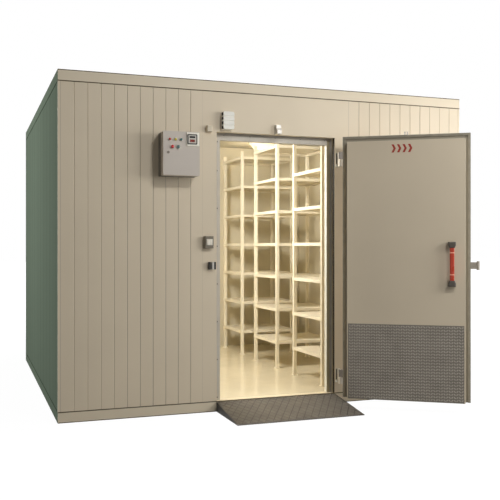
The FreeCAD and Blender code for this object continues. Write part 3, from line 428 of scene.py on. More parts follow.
LOOKS = {
    "floor_panels": paint("floor_skin", tint(236, 223, 193), rough=0.14, spread=0.03, scale=2.0, sheen=0.6),
    "roof_panels": skin("roof_skin", tint(196, 190, 174)),
    "front_wall_left": skin("left_wing_skin", BEIGE, CREAM, "X", left_wing_box[1].x),
    "front_wall_right": skin("right_wing_skin", BEIGE, CREAM, "X", right_wing_box[0].x),
    "left_wall_panels": skin("green_side_skin", GREEN, CREAM, "Y", front_corner, gloss=0.0, drift=RIB_SHADE_BANDS),
    "back_wall_panels": skin(
        "green_back_skin", GREEN, CREAM, "X", left_wing_box[0].x, gloss=0.0, drift=RIB_SHADE_BANDS
    ),
    "door_panel_left": skin("door_panel_skin", BEIGE, CREAM),
    # The rebate face of the right door panel is painted dark brown: painted shade where the room's light
    # does not reach.
    "door_panel_right": skin("door_panel_right_skin", BEIGE, CREAM, reveal=tint(46, 37, 26)),
    "top_trim_front": skin("beige_trim", BEIGE_TRIM),
    "top_trim_left": skin("green_trim", scaled(GREEN, 1.05), gloss=0.0, rims=LINE_GREEN),
    "corner_trims": skin("corner_skin", BEIGE_TRIM, rear=scaled(GREEN, 1.05)),
    "door_jamb_left": metal(
        "frame_metal", tint(188, 181, 168), rough=0.5, stretch=(1, 1, 30), metallic=0.12, spread=0.04
    ),
    # The right jamb is painted darker and browner than the left, painted shade from the open leaf, and its
    # left face near white, painted light from the room.
    "door_jamb_right": metal(
        "frame_metal_shaded_right", tint(154, 142, 110), rough=0.55, stretch=(1, 1, 30), metallic=0.1, spread=0.05,
        inner=(left_side("door_jamb_right"), tint(255, 252, 240)),
    ),
    "threshold": metal(
        "threshold_metal", tint(230, 216, 186), rough=0.45, stretch=(30, 1, 1), metallic=0.15
    ),
    "rebate_seal": rubber("seal_rubber", tint(150, 144, 134)),
    "door_leaf_gasket": rubber("gasket_rubber", tint(148, 141, 125)),
    "door_leaf_panel": skin("leaf_edge_skin", tint(152, 144, 127), outer=LEAF_SKIN),
    "door_leaf_plug": skin("leaf_skin", LEAF_SKIN),
    # The checker and ramp plates are painted darker than their raised tread: painted shade between the
    # bars.
    "kick_plate": metal("checker_metal", tint(106, 100, 90), rough=0.5, metallic=0.35),
    "ramp_plate": metal("ramp_metal", tint(70, 65, 57), rough=0.5, metallic=0.35),
    "ramp_ribs": paint("ramp_side", tint(42, 39, 33), rough=0.6),
    "grip_mounts": paint("dark_plastic", tint(70, 64, 56), rough=0.5),
    "grip_bar": paint("grip_red", tint(180, 54, 28), rough=0.32, sheen=0.4),
    "hinge_brackets": metal("hinge_metal", tint(226, 217, 202), rough=0.45, metallic=0.25),
    "hinge_straps": metal("strap_metal", tint(130, 123, 118), rough=0.6, metallic=0.2),
    # The hook's left side is painted dark: painted shade.
    "closer_hook": metal(
        "hook_metal", tint(240, 234, 224), rough=0.35, metallic=0.3,
        inner=(left_side("closer_hook"), tint(74, 68, 60)),
    ),
    "outer_pull": metal("hardware_metal", tint(198, 194, 185), rough=0.28),
    "relief_valve": paint("white_plastic", tint(255, 251, 240), rough=0.5, sheen=0.35),
    "wall_cap": paint("cap_plastic", tint(220, 207, 182), rough=0.45),
    "light_switch": paint("switch_frame", tint(124, 116, 100), rough=0.55),
    "switch_rocker": paint("switch_rocker", tint(253, 245, 228), rough=0.4),
    "control_box_body": paint("box_body_grey", tint(106, 100, 90), rough=0.5),
    "control_box_cover": paint("box_cover_grey", tint(208, 198, 186), rough=0.45),
    "temperature_controller": paint("controller_white", tint(255, 249, 234), rough=0.4),
    "shelf_posts": paint("shelf_paint", tint(243, 233, 210), rough=0.35, sheen=0.5),
    "ceiling_lamp_bowl": glow("lamp_bowl", tint(250, 238, 208), 0.15),
    "mounting_plate": metal("plate_zinc", tint(196, 194, 186), rough=0.4, stretch=(1, 1, 20)),
    "latch": paint("latch_grey", tint(158, 150, 138), rough=0.5),
    "latch_roller": paint("roller_grey", tint(166, 158, 146), rough=0.5),
    "cover_lock": metal("lock_metal", tint(122, 114, 102), rough=0.4, metallic=0.5),
    "latch_keeper": two_toned(
        "keeper_metal", tint(50, 47, 42), tint(192, 188, 178), "latch_keeper", 0.3, 0.78
    ),
}
SAME_LOOK = {
    "right_wall_panels": "left_wall_panels",
    "door_panel_header": "door_panel_left",
    "base_trim_front": "top_trim_front",
    "top_trim_right": "top_trim_left",
    "top_trim_back": "top_trim_left",
    "base_trim_left": "top_trim_left",
    "base_trim_right": "top_trim_left",
    "base_trim_back": "top_trim_left",
    "door_head": "door_jamb_left",
    "closer": "outer_pull",
    "indicator_lamps": "relief_valve",
    "push_buttons": "relief_valve",
    "shelves": "shelf_posts",
    "ceiling_lamp_base": "relief_valve",
}


def dress_nodes():
    for name, node in frame["nodes"].items():
        look = LOOKS[SAME_LOOK.get(name, name)]
        node.data.materials.clear()
        node.data.materials.append(look)


# Meshes of the detail pieces

CREASE = math.radians(35.0)


class Form:
    """A mesh in the making. Its points are turned into the room's frame by a matrix at the end."""

    def __init__(self):
        self.mesh = bmesh.new()

    def box(self, low, high, bevel=0.0, segments=2):
        made = bmesh.ops.create_cube(self.mesh, size=1.0)["verts"]
        low = Vector(low)
        high = Vector(high)
        for vertex in made:
            vertex.co = Vector([low[i] + (vertex.co[i] + 0.5) * (high[i] - low[i]) for i in range(3)])
        if bevel:
            edges = {edge for vertex in made for edge in vertex.link_edges}
            bmesh.ops.bevel(
                self.mesh, geom=list(edges), offset=bevel, segments=segments, profile=0.5, affect="EDGES"
            )

    def lathe(self, profile, centre, axis, steps=32):
        """Turns a profile of (radius, height) points about an axis through centre."""
        turn = Vector(axis).to_track_quat("Z", "Y").to_matrix()
        centre = Vector(centre)
        rings = []
        for radius, height in profile:
            ring = []
            for k in range(steps if radius > 0 else 1):
                angle = 2 * math.pi * k / steps
                point = Vector((radius * math.cos(angle), radius * math.sin(angle), height))
                ring.append(self.mesh.verts.new(centre + turn @ point))
            rings.append(ring)
        for one, two in zip(rings, rings[1:]):
            for k in range(steps):
                after = k + 1
                ends = (one[k % len(one)], one[after % len(one)], two[after % len(two)], two[k % len(two)])
                kept = list(dict.fromkeys(ends))
                if len(kept) > 2:
                    self.mesh.faces.new(kept)

    def prism(self, outline, point, side, up, depth):
        """Straight prism: the outline's (side, up) points, from a point, as deep along side x up."""
        side = Vector(side)
        up = Vector(up)
        out = side.cross(up)
        point = Vector(point)
        near = [self.mesh.verts.new(point + a * side + b * up) for a, b in outline]
        far = [self.mesh.verts.new(point + a * side + b * up + depth * out) for a, b in outline]
        self.mesh.faces.new(near[::-1])
        self.mesh.faces.new(far)
        count = len(outline)
        for k in range(count):
            after = (k + 1) % count
            self.mesh.faces.new((near[k], near[after], far[after], far[k]))

    def piece(self, name, body, slot, material, matrix=None):
        """Ends the mesh as an object that rides on a body."""
        bmesh.ops.recalc_face_normals(self.mesh, faces=self.mesh.faces)
        for face in self.mesh.faces:
            face.smooth = True
        for edge in self.mesh.edges:
            edge.smooth = len(edge.link_faces) == 2 and edge.calc_face_angle() < CREASE
        data = bpy.data.meshes.new(name)
        self.mesh.to_mesh(data)
        self.mesh.free()
        if matrix is not None:
            data.transform(matrix)
        data.materials.append(material)
        made = bpy.data.objects.new(name, data)
        bpy.context.scene.collection.objects.link(made)
        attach(made, body)


# Tread on the checker plates

KICK_BAR = (0.0225, 0.0105)
KICK_PITCH = (0.0193, 0.0235)
BAR_CROWN = (0.42, 0.34)
TREAD_HEIGHT = 0.0010
STUD_PITCH = (0.060, 0.096)
STUD_GAP = 0.008
STUD_CROWN = 0.0025
STUD_HEIGHT = 0.0016
LIP_REACH = 0.001


def tread_bar(form, centre, side, up, out, bar):
    """One raised lozenge, long along side."""
    long, wide = bar
    flat, narrow = BAR_CROWN
    rim = [(-1, 0), (-0.5, -1), (0.5, -1), (1, 0), (0.5, 1), (-0.5, 1)]
    low = []
    high = []
    for a, b in rim:
        foot = centre + side * (a * long / 2) + up * (b * wide / 2)
        low.append(form.mesh.verts.new(foot))
        crown = centre + side * (a * long * flat) + up * (b * wide * narrow) + out * TREAD_HEIGHT
        high.append(form.mesh.verts.new(crown))
    form.mesh.faces.new(high)
    for k in range(len(rim)):
        after = (k + 1) % len(rim)
        form.mesh.faces.new((low[k], low[after], high[after], high[k]))


def tread(corner, side, up, width, height, pitch, bar):
    """Raised bars that lean the other way from each column to the next."""
    form = Form()
    out = side.cross(up)
    columns = int(width / pitch[0])
    rows = int(height / pitch[1])
    start_u = (width - columns * pitch[0]) / 2
    start_v = (height - rows * pitch[1]) / 2
    for i in range(columns):
        for j in range(rows):
            along = (side + up * (1 if i % 2 else -1)).normalized()
            middle = corner + side * (start_u + (i + 0.5) * pitch[0])
            middle += up * (start_v + (j + 0.5) * pitch[1])
            tread_bar(form, middle, along, out.cross(along), out, bar)
    return form


def kick_plate_tread():
    low, high = shut_box("kick_plate")
    corner = Vector((high.x, high.y, low.z))
    form = tread(corner, -ACROSS, UP, high.x - low.x, high.z - low.z, KICK_PITCH, KICK_BAR)
    # The bars are painted lighter than the plate: painted highlight on the raised tread.
    wear_and_highlight = metal("tread_metal", tint(144, 136, 124), rough=0.5, metallic=0.3)
    form.piece("kick_plate_tread", DOOR, "checker_metal", wear_and_highlight, OPENED)


def stud(form, corner, up, out, centre, reach, plate):
    """One raised diamond with flat top, cut off where it would pass the plate's edges."""
    foot = []
    crown = []
    for ring, inset, height in ((foot, STUD_GAP / 2, 0.0), (crown, STUD_GAP / 2 + STUD_CROWN, STUD_HEIGHT)):
        for a, b in ((1, 0), (0, 1), (-1, 0), (0, -1)):
            x = centre[0] + a * (reach[0] - inset)
            y = centre[1] + b * (reach[1] - inset * reach[1] / reach[0])
            x = min(max(x, inset), plate[0] - inset)
            y = min(max(y, inset), plate[1] - inset)
            ring.append(form.mesh.verts.new(corner + ACROSS * x + up * y + out * height))
    form.mesh.faces.new(crown)
    for k in range(4):
        after = (k + 1) % 4
        form.mesh.faces.new((foot[k], foot[after], crown[after], crown[k]))


def ramp_tread():
    low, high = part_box("ramp_plate")
    nodes = frame["nodes"]["ramp_plate"].data.vertices
    lip = max(vertex.co.z for vertex in nodes if vertex.co.y < low.y + LIP_REACH)
    slope = Vector((0, high.y - low.y, high.z - lip))
    corner = Vector((low.x, low.y, lip))
    up = slope.normalized()
    out = ACROSS.cross(up)
    width = high.x - low.x
    columns = 2 * round(width / STUD_PITCH[0])
    rows = 2 * round(slope.length / STUD_PITCH[1])
    reach = (width / columns, slope.length / rows)
    form = Form()
    for i in range(columns + 1):
        for j in range(i % 2, rows + 1, 2):
            stud(form, corner, up, out, (i * reach[0], j * reach[1]), reach, (width, slope.length))
    # The studs are painted lighter than the plate: painted highlight on the raised tread.
    wear_and_highlight = metal("ramp_tread_metal", tint(103, 97, 89), rough=0.5, metallic=0.35)
    form.piece("ramp_tread", ROOM, "ramp_metal", wear_and_highlight)


# Dark lines round the walls, partly painted shadow

LINE_BELOW = 0.007
LINE_DEPTH = 0.003
LINE_RISE = 0.0005


def edge_lines():
    """Narrow dark lines: painted shadow where the trims meet the ribs, and dark lines along the outer edges
    of the front trims.
    """
    beige_lines = Form()
    green_lines = Form()
    for side in ("front", "left", "right", "back"):
        form = beige_lines if side == "front" else green_lines
        rise = LINE_RISE if side == "front" else -LINE_RISE
        thin = 1 if side in ("front", "back") else 0
        for kind in ("top", "base"):
            low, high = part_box(f"{kind}_trim_{side}")
            start = list(low)
            end = list(high)
            if high[thin] > 0:
                start[thin] = high[thin] - LINE_DEPTH
                end[thin] = high[thin] + rise
            else:
                start[thin] = low[thin] - rise
                end[thin] = low[thin] + LINE_DEPTH
            joint = (low.z - LINE_BELOW, low.z) if kind == "top" else (high.z, high.z + LINE_BELOW)
            edge = (high.z - LINE_EDGE, high.z) if kind == "top" else (low.z, low.z + LINE_EDGE)
            for bottom, top in (joint, edge) if side == "front" else (joint,):
                form.box((*start[:2], bottom), (*end[:2], top))
    brown = paint("line_brown", tint(104, 93, 72), rough=0.7, sheen=0.1)
    green = paint("line_green", LINE_GREEN, rough=0.7, sheen=0.0)
    beige_lines.piece("edge_lines_front", ROOM, "beige_trim", brown)
    green_lines.piece("edge_lines_sides", ROOM, "green_trim", green)


# Fasteners on the door frame

SCREW_RADIUS = 0.0055
SCREW_RISE = 0.002
SCREW_PROFILE = ((1.0, 0.0), (1.0, 0.45), (0.8, 0.9), (0.45, 1.0), (0.35, 0.35), (0.0, 0.35))
HEAD_SCREWS = 5
HEAD_SCREW_INSET = (0.033, 0.020)
HEAD_SCREW_DROP = 0.016
JAMB_TOP_SCREW = 0.070
JAMB_SCREW_START = 0.300
JAMB_SCREW_PITCH = 0.300
JAMB_SCREWS = 7
JAMB_SCREW_EDGE = {"door_jamb_left": 0.022, "door_jamb_right": -0.010}


def screw_head(form, centre):
    """Pan head with a recess in its middle."""
    profile = [(SCREW_RADIUS * wide, SCREW_RISE * high) for wide, high in SCREW_PROFILE]
    form.lathe(profile, centre, FACING, 16)


def frame_screws():
    low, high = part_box("door_head")
    forms = {"door_jamb_left": Form(), "door_jamb_right": Form()}
    first = low.x + HEAD_SCREW_INSET[0]
    last = high.x - HEAD_SCREW_INSET[1]
    for k in range(HEAD_SCREWS):
        x = first + (last - first) * k / (HEAD_SCREWS - 1)
        screw_head(forms["door_jamb_left"], (x, low.y, high.z - HEAD_SCREW_DROP))
    for node, inset in JAMB_SCREW_EDGE.items():
        side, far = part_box(node)
        x = side.x + inset if inset > 0 else far.x + inset
        heights = [high.z - JAMB_TOP_SCREW]
        heights += [high.z - JAMB_SCREW_START - k * JAMB_SCREW_PITCH for k in range(JAMB_SCREWS)]
        for z in heights:
            screw_head(forms[node], (x, side.y, z))
    # The same screws are painted dark on the left jamb and light on the right: painted shade and painted
    # highlight.
    dark = metal("screw_dark", tint(72, 66, 58), rough=0.5, metallic=0.3)
    light = metal("screw_light", tint(186, 180, 168), rough=0.35)
    forms["door_jamb_left"].piece("frame_screws_left", ROOM, "hardware_metal", dark)
    forms["door_jamb_right"].piece("frame_screws_right", ROOM, "hardware_metal", light)


# Hinges

HINGE_SLOT = (0.0043, 0.0137)
HINGE_SLOT_RISE = (0.0273, 0.0043)
HINGE_SLOT_SUNK = (0.0005, 0.0048)
HINGE_FACE = 0.008
HINGE_BOLT = (0.009, 0.012)
HINGE_BOLT_CAP = ((0.0084, 0.0), (0.0084, 0.0044), (0.0062, 0.0056), (0.0, 0.0056))


def hinge_details():
    """Dark boxes in the slots of the hinge plates, painted shade for the gaps there, and bright caps on
    their bolts, painted highlight.
    """
    slots = Form()
    bolts = Form()
    for low, high in islands("hinge_brackets"):
        face = high.y - HINGE_FACE
        slots.box(
            (low.x + HINGE_SLOT[0], face + HINGE_SLOT_SUNK[0], low.z + HINGE_SLOT_RISE[0]),
            (low.x + HINGE_SLOT[1], face + HINGE_SLOT_SUNK[1], high.z - HINGE_SLOT_RISE[1]),
        )
        bolts.lathe(HINGE_BOLT_CAP, (low.x + HINGE_BOLT[0], face, low.z + HINGE_BOLT[1]), FACING, 24)
    black = paint("slot_black", tint(32, 27, 20), rough=0.7, sheen=0.1)
    bright = metal("bolt_bright", tint(255, 252, 244), rough=0.3, metallic=0.2)
    slots.piece("hinge_slots", ROOM, "dark_plastic", black)
    bolts.piece("hinge_bolts", ROOM, "hardware_metal", bright)


# Leaf

SIGN_CHEVRONS = 4
SIGN_PITCH = 0.0425
SIGN_ARM = 0.018
SIGN_POINT = 0.016
SIGN_HEIGHT = 0.064
SIGN_BOTTOM = 2.038
SIGN_START = 0.105
SIGN_THICKNESS = 0.0008
GRIP_RINGS = (1.249, 1.080)
GRIP_RING_HEIGHT = 0.013
GRIP_RING_SKIN = 0.0008
GRIP_RING_BEVEL = 0.006


def leaf_sign():
    """Row of plain red chevrons on the leaf's inner face."""
    inner_face = shut_box("door_leaf_plug")[1].y
    half = SIGN_HEIGHT / 2
    outline = [
        (0, 0), (SIGN_ARM, 0), (SIGN_ARM + SIGN_POINT, half), (SIGN_ARM, SIGN_HEIGHT), (0, SIGN_HEIGHT),
        (SIGN_POINT, half),
    ]
    form = Form()
    for k in range(SIGN_CHEVRONS):
        corner = (SIGN_START - k * SIGN_PITCH, inner_face, SIGN_BOTTOM)
        form.prism(outline, corner, -ACROSS, UP, SIGN_THICKNESS)
    form.piece("leaf_sign", DOOR, "grip_red", paint("sign_red", tint(150, 50, 36), rough=0.55), OPENED)


def grip_rings():
    low, high = shut_box("grip_bar")
    skin_out = Vector((GRIP_RING_SKIN, GRIP_RING_SKIN, 0))
    form = Form()
    for z in GRIP_RINGS:
        start = Vector((low.x, low.y, z - GRIP_RING_HEIGHT / 2)) - skin_out
        end = Vector((high.x, high.y, z + GRIP_RING_HEIGHT / 2)) + skin_out
        form.box(start, end, GRIP_RING_BEVEL, 3)
    form.piece("grip_rings", DOOR, "grip_red", paint("ring_pale", tint(240, 172, 142), rough=0.4), OPENED)


# Fittings on the front wall

VALVE_HOODS = 4
CORE_RISE = 0.0004
CORE_FROM_WALL = 0.008
CORE_FROM_FRONT = 0.010
CORE_FROM_HOOD = 0.005
CORE_BEVEL = 0.002


def valve_vent_shade():
    """Dark blocks inside the valve's hoods: painted shade for the dark insides of the side vents."""
    low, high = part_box("relief_valve")
    pitch = (high.z - low.z) / VALVE_HOODS
    form = Form()
    for k in range(VALVE_HOODS):
        z = low.z + k * pitch
        form.box(
            (low.x - CORE_RISE, low.y + CORE_FROM_FRONT, z + CORE_FROM_HOOD),
            (high.x + CORE_RISE, high.y - CORE_FROM_WALL, z + pitch - CORE_FROM_HOOD),
            CORE_BEVEL,
        )
    form.piece("valve_vent_shade", ROOM, "dark_plastic", paint("core_black", tint(30, 29, 26), rough=0.8))


ROCKER_PAD = 0.0015
ROCKER_SEAM = 0.0012
ROCKER_MARGIN = 0.002
ROCKER_BEVEL = 0.001


def rocker_pads():
    low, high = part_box("switch_rocker")
    middle = (low.x + high.x) / 2
    form = Form()
    left = (low.x + ROCKER_MARGIN, middle - ROCKER_SEAM)
    right = (middle + ROCKER_SEAM, high.x - ROCKER_MARGIN)
    for start, end in (left, right):
        form.box(
            (start, low.y - ROCKER_PAD, low.z + ROCKER_MARGIN),
            (end, low.y + ROCKER_PAD, high.z - ROCKER_MARGIN),
            ROCKER_BEVEL,
        )
    form.piece("rocker_pads", ROOM, "white_plastic", LOOKS["switch_rocker"])


# Control box

METER_SIZE = 0.078
METER_RING = 0.009
METER_CORNERS = (0.008, 0.004, 0.002)
METER_RISE = 0.003
METER_STEP = 0.0008
METER_SHIFT = -0.006
DISPLAY = (-0.0220, 0.0090, 0.0220, 0.0235)
WINDOW = (-0.0190, -0.0215, 0.0190, -0.0015)
DIGIT_SIZE = (0.011, 0.015)
DIGIT_STROKE = 0.0024
DIGIT_GAP = 0.005
DIGIT_BOTTOM = -0.0190
DIGIT_RISE = 0.0020
SEGMENTS = {"0": "abcdef", "4": "bcfg"}


def rounded_outline(x0, z0, x1, z1, radius, steps=5):
    points = []
    arcs = (
        (x1 - radius, z1 - radius, 0), (x0 + radius, z1 - radius, 90),
        (x0 + radius, z0 + radius, 180), (x1 - radius, z0 + radius, 270),
    )
    for x, z, start in arcs:
        for k in range(steps + 1):
            angle = math.radians(start + 90 * k / steps)
            points.append((x + radius * math.cos(angle), z + radius * math.sin(angle)))
    return points


def digit_bars(value, x, z):
    """Bars of one figure as (x0, z0, x1, z1)."""
    wide, tall = DIGIT_SIZE
    half = tall / 2
    t = DIGIT_STROKE
    bars = {
        "a": (x + t, z + tall - t, x + wide - t, z + tall),
        "b": (x + wide - t, z + half, x + wide, z + tall),
        "c": (x + wide - t, z, x + wide, z + half),
        "d": (x + t, z, x + wide - t, z + t),
        "e": (x, z, x + t, z + half),
        "f": (x, z + half, x + t, z + tall),
        "g": (x + t, z + half - t / 2, x + wide - t, z + half + t / 2),
    }
    return [bars[name] for name in SEGMENTS[value]]


def controller_face():
    low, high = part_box("temperature_controller")
    centre = Vector(((low.x + high.x) / 2 + METER_SHIFT, low.y, (low.z + high.z) / 2))
    outer, middle, fine = METER_CORNERS
    half = METER_SIZE / 2
    inner = half - METER_RING

    def plate(outline, steps, name, slot, material):
        """One flat layer, as high as its number of steps over the ring."""
        form = Form()
        form.prism(outline, centre, ACROSS, UP, METER_RISE + steps * METER_STEP)
        form.piece(name, COVER, slot, material)

    ring = rounded_outline(-half, -half, half, half, outer)
    face = rounded_outline(-inner, -inner, inner, inner, middle)
    dark = paint("ring_dark", tint(62, 58, 50), rough=0.45)
    plate(ring, 0, "controller_ring", "dark_plastic", dark)
    pale = paint("face_pale", tint(206, 200, 188), rough=0.4)
    plate(face, 1, "controller_face", "grey_plastic", pale)
    black = paint("display_dark", tint(44, 42, 38), rough=0.2)
    plate(rounded_outline(*DISPLAY, fine), 2, "controller_display", "dark_plastic", black)
    red = paint("window_red", tint(96, 36, 22), rough=0.25)
    plate(rounded_outline(*WINDOW, fine), 2, "controller_window", "dark_plastic", red)
    digits = Form()
    for k, value in enumerate("04"):
        x = (k - 1) * (DIGIT_SIZE[0] + DIGIT_GAP) + DIGIT_GAP / 2
        for x0, z0, x1, z1 in digit_bars(value, x, DIGIT_BOTTOM):
            outline = [(x0, z0), (x1, z0), (x1, z1), (x0, z1)]
            digits.prism(outline, centre, ACROSS, UP, METER_RISE + DIGIT_RISE)
    digits.piece("controller_digits", COVER, "grip_red", glow("digit_red", tint(176, 56, 38), 0.15))


LENS_COLOURS = (tint(176, 40, 30), tint(224, 206, 70), tint(30, 92, 84))
BUTTON_COLOURS = (tint(200, 24, 18), tint(104, 132, 126))
BEZEL_HEIGHT = 0.005
BEZEL_LIP = 0.001
CAP_INSET = 0.0022
CAP_SHOULDER = ((1.0, 0.8, 0.0), (0.92, 1.0, 0.0006))
DOME_CROWN = ((0.7, 0.0026), (0.4, 0.0040), (0.0, 0.0045))
FLAT_CROWN = ((0.85, 0.0012), (0.0, 0.0012))
SELECTOR_HALF = 0.004
SELECTOR_RISE = 0.009
SELECTOR_REACH = 0.9
SELECTOR_BEVEL = 0.0015
SLOT_HALF = (0.0015, 0.006)
SLOT_DEPTH = (0.0006, 0.001)
SLOT_BEVEL = 0.0003


def cap_at(box, colour, name, slot, dome):
    """Coloured cap over one lamp or button."""
    low, high = box
    radius = (high.x - low.x) / 2 - CAP_INSET
    centre = Vector(((low.x + high.x) / 2, high.y, (low.z + high.z) / 2))
    rise = high.y - low.y
    form = Form()
    profile = [(radius, BEZEL_HEIGHT - BEZEL_LIP)]
    profile += [(radius * share, rise * part + over) for share, part, over in CAP_SHOULDER]
    profile += [(radius * share, rise + over) for share, over in (DOME_CROWN if dome else FLAT_CROWN)]
    form.lathe(profile, centre, FACING, 28)
    form.piece(name, COVER, slot, paint(name, colour, rough=0.22, sheen=0.6))
    return centre, radius, rise


def lamps_and_buttons():
    for k, box in enumerate(islands("indicator_lamps")):
        cap_at(box, LENS_COLOURS[k], f"lamp_lens_{k + 1}", "lamp_colours", True)
    for k, box in enumerate(islands("push_buttons")):
        name = f"button_cap_{k + 1}"
        centre, radius, rise = cap_at(box, BUTTON_COLOURS[k], name, "button_colours", k == 0)
    handle = Form()
    out = centre.y - rise
    reach = radius * SELECTOR_REACH
    handle.box(
        (centre.x - SELECTOR_HALF, out - SELECTOR_RISE, centre.z - reach),
        (centre.x + SELECTOR_HALF, out, centre.z + reach),
        SELECTOR_BEVEL,
    )
    teal = paint("selector_teal", tint(84, 112, 108), rough=0.4)
    handle.piece("selector_handle", COVER, "dark_plastic", teal)


def lock_slot():
    low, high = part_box("cover_lock")
    centre = (low + high) / 2
    form = Form()
    wide, tall = SLOT_HALF
    rise, sunk = SLOT_DEPTH
    form.box(
        (centre.x - wide, low.y - rise, centre.z - tall),
        (centre.x + wide, low.y + sunk, centre.z + tall),
        SLOT_BEVEL,
    )
    form.piece("lock_slot", COVER, "dark_plastic", LOOKS["grip_mounts"])


# Shelving

COLLAR_SKIN = 0.003
COLLAR_BEVEL = 0.0015
FOOT_SKIN = 0.008
FOOT_HEIGHT = 0.008
FOOT_BEVEL = 0.002
POST_GAP = 0.035
LEVEL_GAP = 0.05


def runs(values, gap):
    """Low and high end of each run of values that lie closer together than gap."""
    found = []
    for value in sorted(values):
        if found and value - found[-1][1] < gap:
            found[-1][1] = value
        else:
            found.append([value, value])
    return found


def shelf_collars():
    posts = frame["nodes"]["shelf_posts"].data.vertices
    shelves = frame["nodes"]["shelves"].data.vertices
    columns = runs([vertex.co.x for vertex in posts], POST_GAP)
    rows = runs([vertex.co.y for vertex in posts], POST_GAP)
    levels = runs([vertex.co.z for vertex in shelves], LEVEL_GAP)
    floor = min(vertex.co.z for vertex in posts)
    skin_out = Vector((COLLAR_SKIN, COLLAR_SKIN, COLLAR_SKIN))
    form = Form()
    for x0, x1 in columns:
        for y0, y1 in rows:
            for z0, z1 in levels:
                form.box(Vector((x0, y0, z0)) - skin_out, Vector((x1, y1, z1)) + skin_out, COLLAR_BEVEL, 1)
            form.box(
                (x0 - FOOT_SKIN, y0 - FOOT_SKIN, floor),
                (x1 + FOOT_SKIN, y1 + FOOT_SKIN, floor + FOOT_HEIGHT),
                FOOT_BEVEL, 1,
            )
    form.piece("shelf_collars", ROOM, "shelf_paint", LOOKS["shelf_posts"])


# Camera, floor and light

CAMERA_PLACE = Vector((-2.3425, -7.5102, 1.2974))
CAMERA_AIM = Vector((0.34087, 0.94011, 0.0))
CAMERA_LENS = 55.73
CAMERA_SENSOR = 36.0
CAMERA_SHIFT = -0.007


def camera():
    data = bpy.data.cameras.new("camera")
    data.sensor_width = CAMERA_SENSOR
    data.lens = CAMERA_LENS
    data.shift_y = CAMERA_SHIFT
    made = bpy.data.objects.new("camera", data)
    made.location = CAMERA_PLACE
    made.rotation_euler = CAMERA_AIM.to_track_quat("-Z", "Y").to_euler()
    bpy.context.scene.collection.objects.link(made)
    bpy.context.scene.camera = made


def seen(tree):
    """1 for rays that show the surroundings themselves: from the camera, a gloss or through glass."""
    path = tree.nodes.new("ShaderNodeLightPath")
    total = path.outputs["Is Camera Ray"]
    for name in ("Is Glossy Ray", "Is Transmission Ray"):
        add = tree.nodes.new("ShaderNodeMath")
        add.operation = "MAXIMUM"
        tree.links.new(total, add.inputs[0])
        tree.links.new(path.outputs[name], add.inputs[1])
        total = add.outputs[0]
    return total


AMBIENT = 0.10
AMBIENT_COLOUR = (1.0, 0.98, 0.95, 1)


def world():
    made = bpy.data.worlds.new("studio")
    made.use_nodes = True
    tree = made.node_tree
    tree.nodes.clear()
    soft = tree.nodes.new("ShaderNodeBackground")
    soft.inputs["Color"].default_value = AMBIENT_COLOUR
    soft.inputs["Strength"].default_value = AMBIENT
    white = tree.nodes.new("ShaderNodeBackground")
    white.inputs["Strength"].default_value = 1.0
    white.inputs["Color"].default_value = (1, 1, 1, 1)
    blend = tree.nodes.new("ShaderNodeMixShader")
    tree.links.new(seen(tree), blend.inputs[0])
    tree.links.new(soft.outputs[0], blend.inputs[1])
    tree.links.new(white.outputs[0], blend.inputs[2])
    out = tree.nodes.new("ShaderNodeOutputWorld")
    tree.links.new(blend.outputs[0], out.inputs[0])
    bpy.context.scene.world = made


FLOOR_HALF = 60.0
FLOOR_THICKNESS = 0.02
FLOOR_ALBEDO = 0.35
FLOOR_SHARE = 0.84
FLOOR_LIGHT = 1.16
FLOOR_FADE = (2.5, 6.5)


def studio_floor():
    """White floor that keeps a faint shadow near the room and fades into the backdrop."""
    shader = Shader("studio_floor")
    tree = shader.tree
    shader.colour(mottled(shader, (FLOOR_ALBEDO, FLOOR_ALBEDO, FLOOR_ALBEDO, 1), 0.01, 0.5))
    shader.roughness(0.9)
    shader.set(Specular_IOR_Level=0.0)
    length = shader.add("ShaderNodeVectorMath", operation="LENGTH")
    shader.put(length.inputs[0], shader.place)
    far = shader.span(length.outputs["Value"], *FLOOR_FADE, FLOOR_SHARE, 1.0, smooth=True)
    share = shader.math("MULTIPLY", far, seen(tree))
    light = shader.add("ShaderNodeEmission")
    light.inputs["Strength"].default_value = FLOOR_LIGHT
    blend = shader.add("ShaderNodeMixShader")
    out = tree.nodes["Material Output"]
    shader.put(blend.inputs[0], share)
    shader.put(blend.inputs[1], shader.surface.outputs[0])
    shader.put(blend.inputs[2], light.outputs[0])
    shader.put(out.inputs["Surface"], blend.outputs[0])
    form = Form()
    form.box((-FLOOR_HALF, -FLOOR_HALF, -FLOOR_THICKNESS), (FLOOR_HALF, FLOOR_HALF, 0.0))
    data = bpy.data.meshes.new("studio_floor")
    form.mesh.to_mesh(data)
    form.mesh.free()
    data.materials.append(shader.material)
    made = bpy.data.objects.new("studio_floor", data)
    bpy.context.scene.collection.objects.link(made)


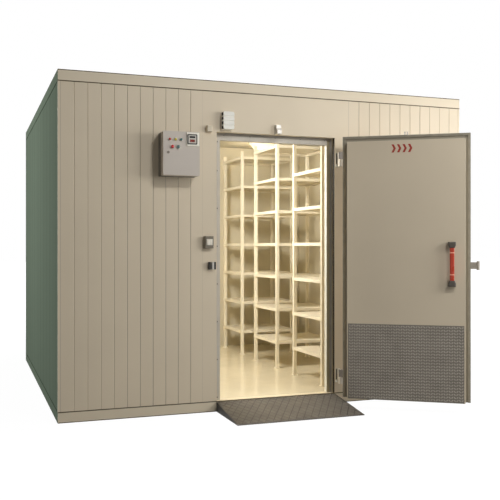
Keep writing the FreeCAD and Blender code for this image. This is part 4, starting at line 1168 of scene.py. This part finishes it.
WHITE = (1.0, 1.0, 1.0)
GLOW_DROP = 0.02
LIGHTS = (
    # Name, place, target, size, watts, colour, spread in degrees
    ("key", (2.94, -3.95, 2.14), (0.43, -1.7, 0.09), (3.0, 1.6), 90.0, WHITE, 180),
    ("front_key", (0.45, -5.9, 4.1), (0.2, -1.7, 1.4), (0.9, 0.6), 70.0, WHITE, 180),
    ("corner_fill", (0.12, -2.35, 1.25), (0.5, -1.72, 1.25), (0.1, 2.0), 0.11, (1.0, 0.95, 0.80), 70),
    ("side_fill", (-6.0, 0.8, 3.0), (-1.7, 0.0, 1.2), (2.4, 2.4), 97.0, WHITE, 180),
    ("back_fill", (3.4, 6.0, 3.2), (0.6, 0.6, 1.2), (2.4, 2.4), 150.0, WHITE, 180),
    ("doorway_spill", (-0.1, -1.45, 2.05), (-0.15, -1.85, 0.08), (0.5, 0.1), 1.6, (1.0, 0.97, 0.90), 50),
    ("room_front", (-0.7, -0.9, 2.2), (0.9, 0.3, 0.9), (0.5, 0.5), 48.0, (1.0, 0.985, 0.935), 180),
)
CEILING_GLOW = ((0.3, 0.3), 3.0, (1.0, 0.97, 0.89), 180)


def area_light(name, place, target, size, power, colour, spread):
    data = bpy.data.lights.new(name, "AREA")
    data.shape = "RECTANGLE"
    data.size, data.size_y = size
    data.energy = power
    data.color = colour
    data.spread = math.radians(spread)
    made = bpy.data.objects.new(name, data)
    made.location = place
    made.rotation_euler = (Vector(target) - Vector(place)).to_track_quat("-Z", "Y").to_euler()
    made.visible_camera = False
    bpy.context.scene.collection.objects.link(made)


def lights():
    for row in LIGHTS:
        area_light(*row)
    low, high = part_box("ceiling_lamp_bowl")
    under = Vector(((low.x + high.x) / 2, (low.y + high.y) / 2, low.z - GLOW_DROP))
    area_light("ceiling_glow", under, under - UP, *CEILING_GLOW)


camera()
world()
studio_floor()
lights()
dress_nodes()
kick_plate_tread()
ramp_tread()
edge_lines()
frame_screws()
hinge_details()
leaf_sign()
grip_rings()
valve_vent_shade()
rocker_pads()
controller_face()
lamps_and_buttons()
lock_slot()
shelf_collars()

bpy.context.scene.view_settings.view_transform = "Standard"
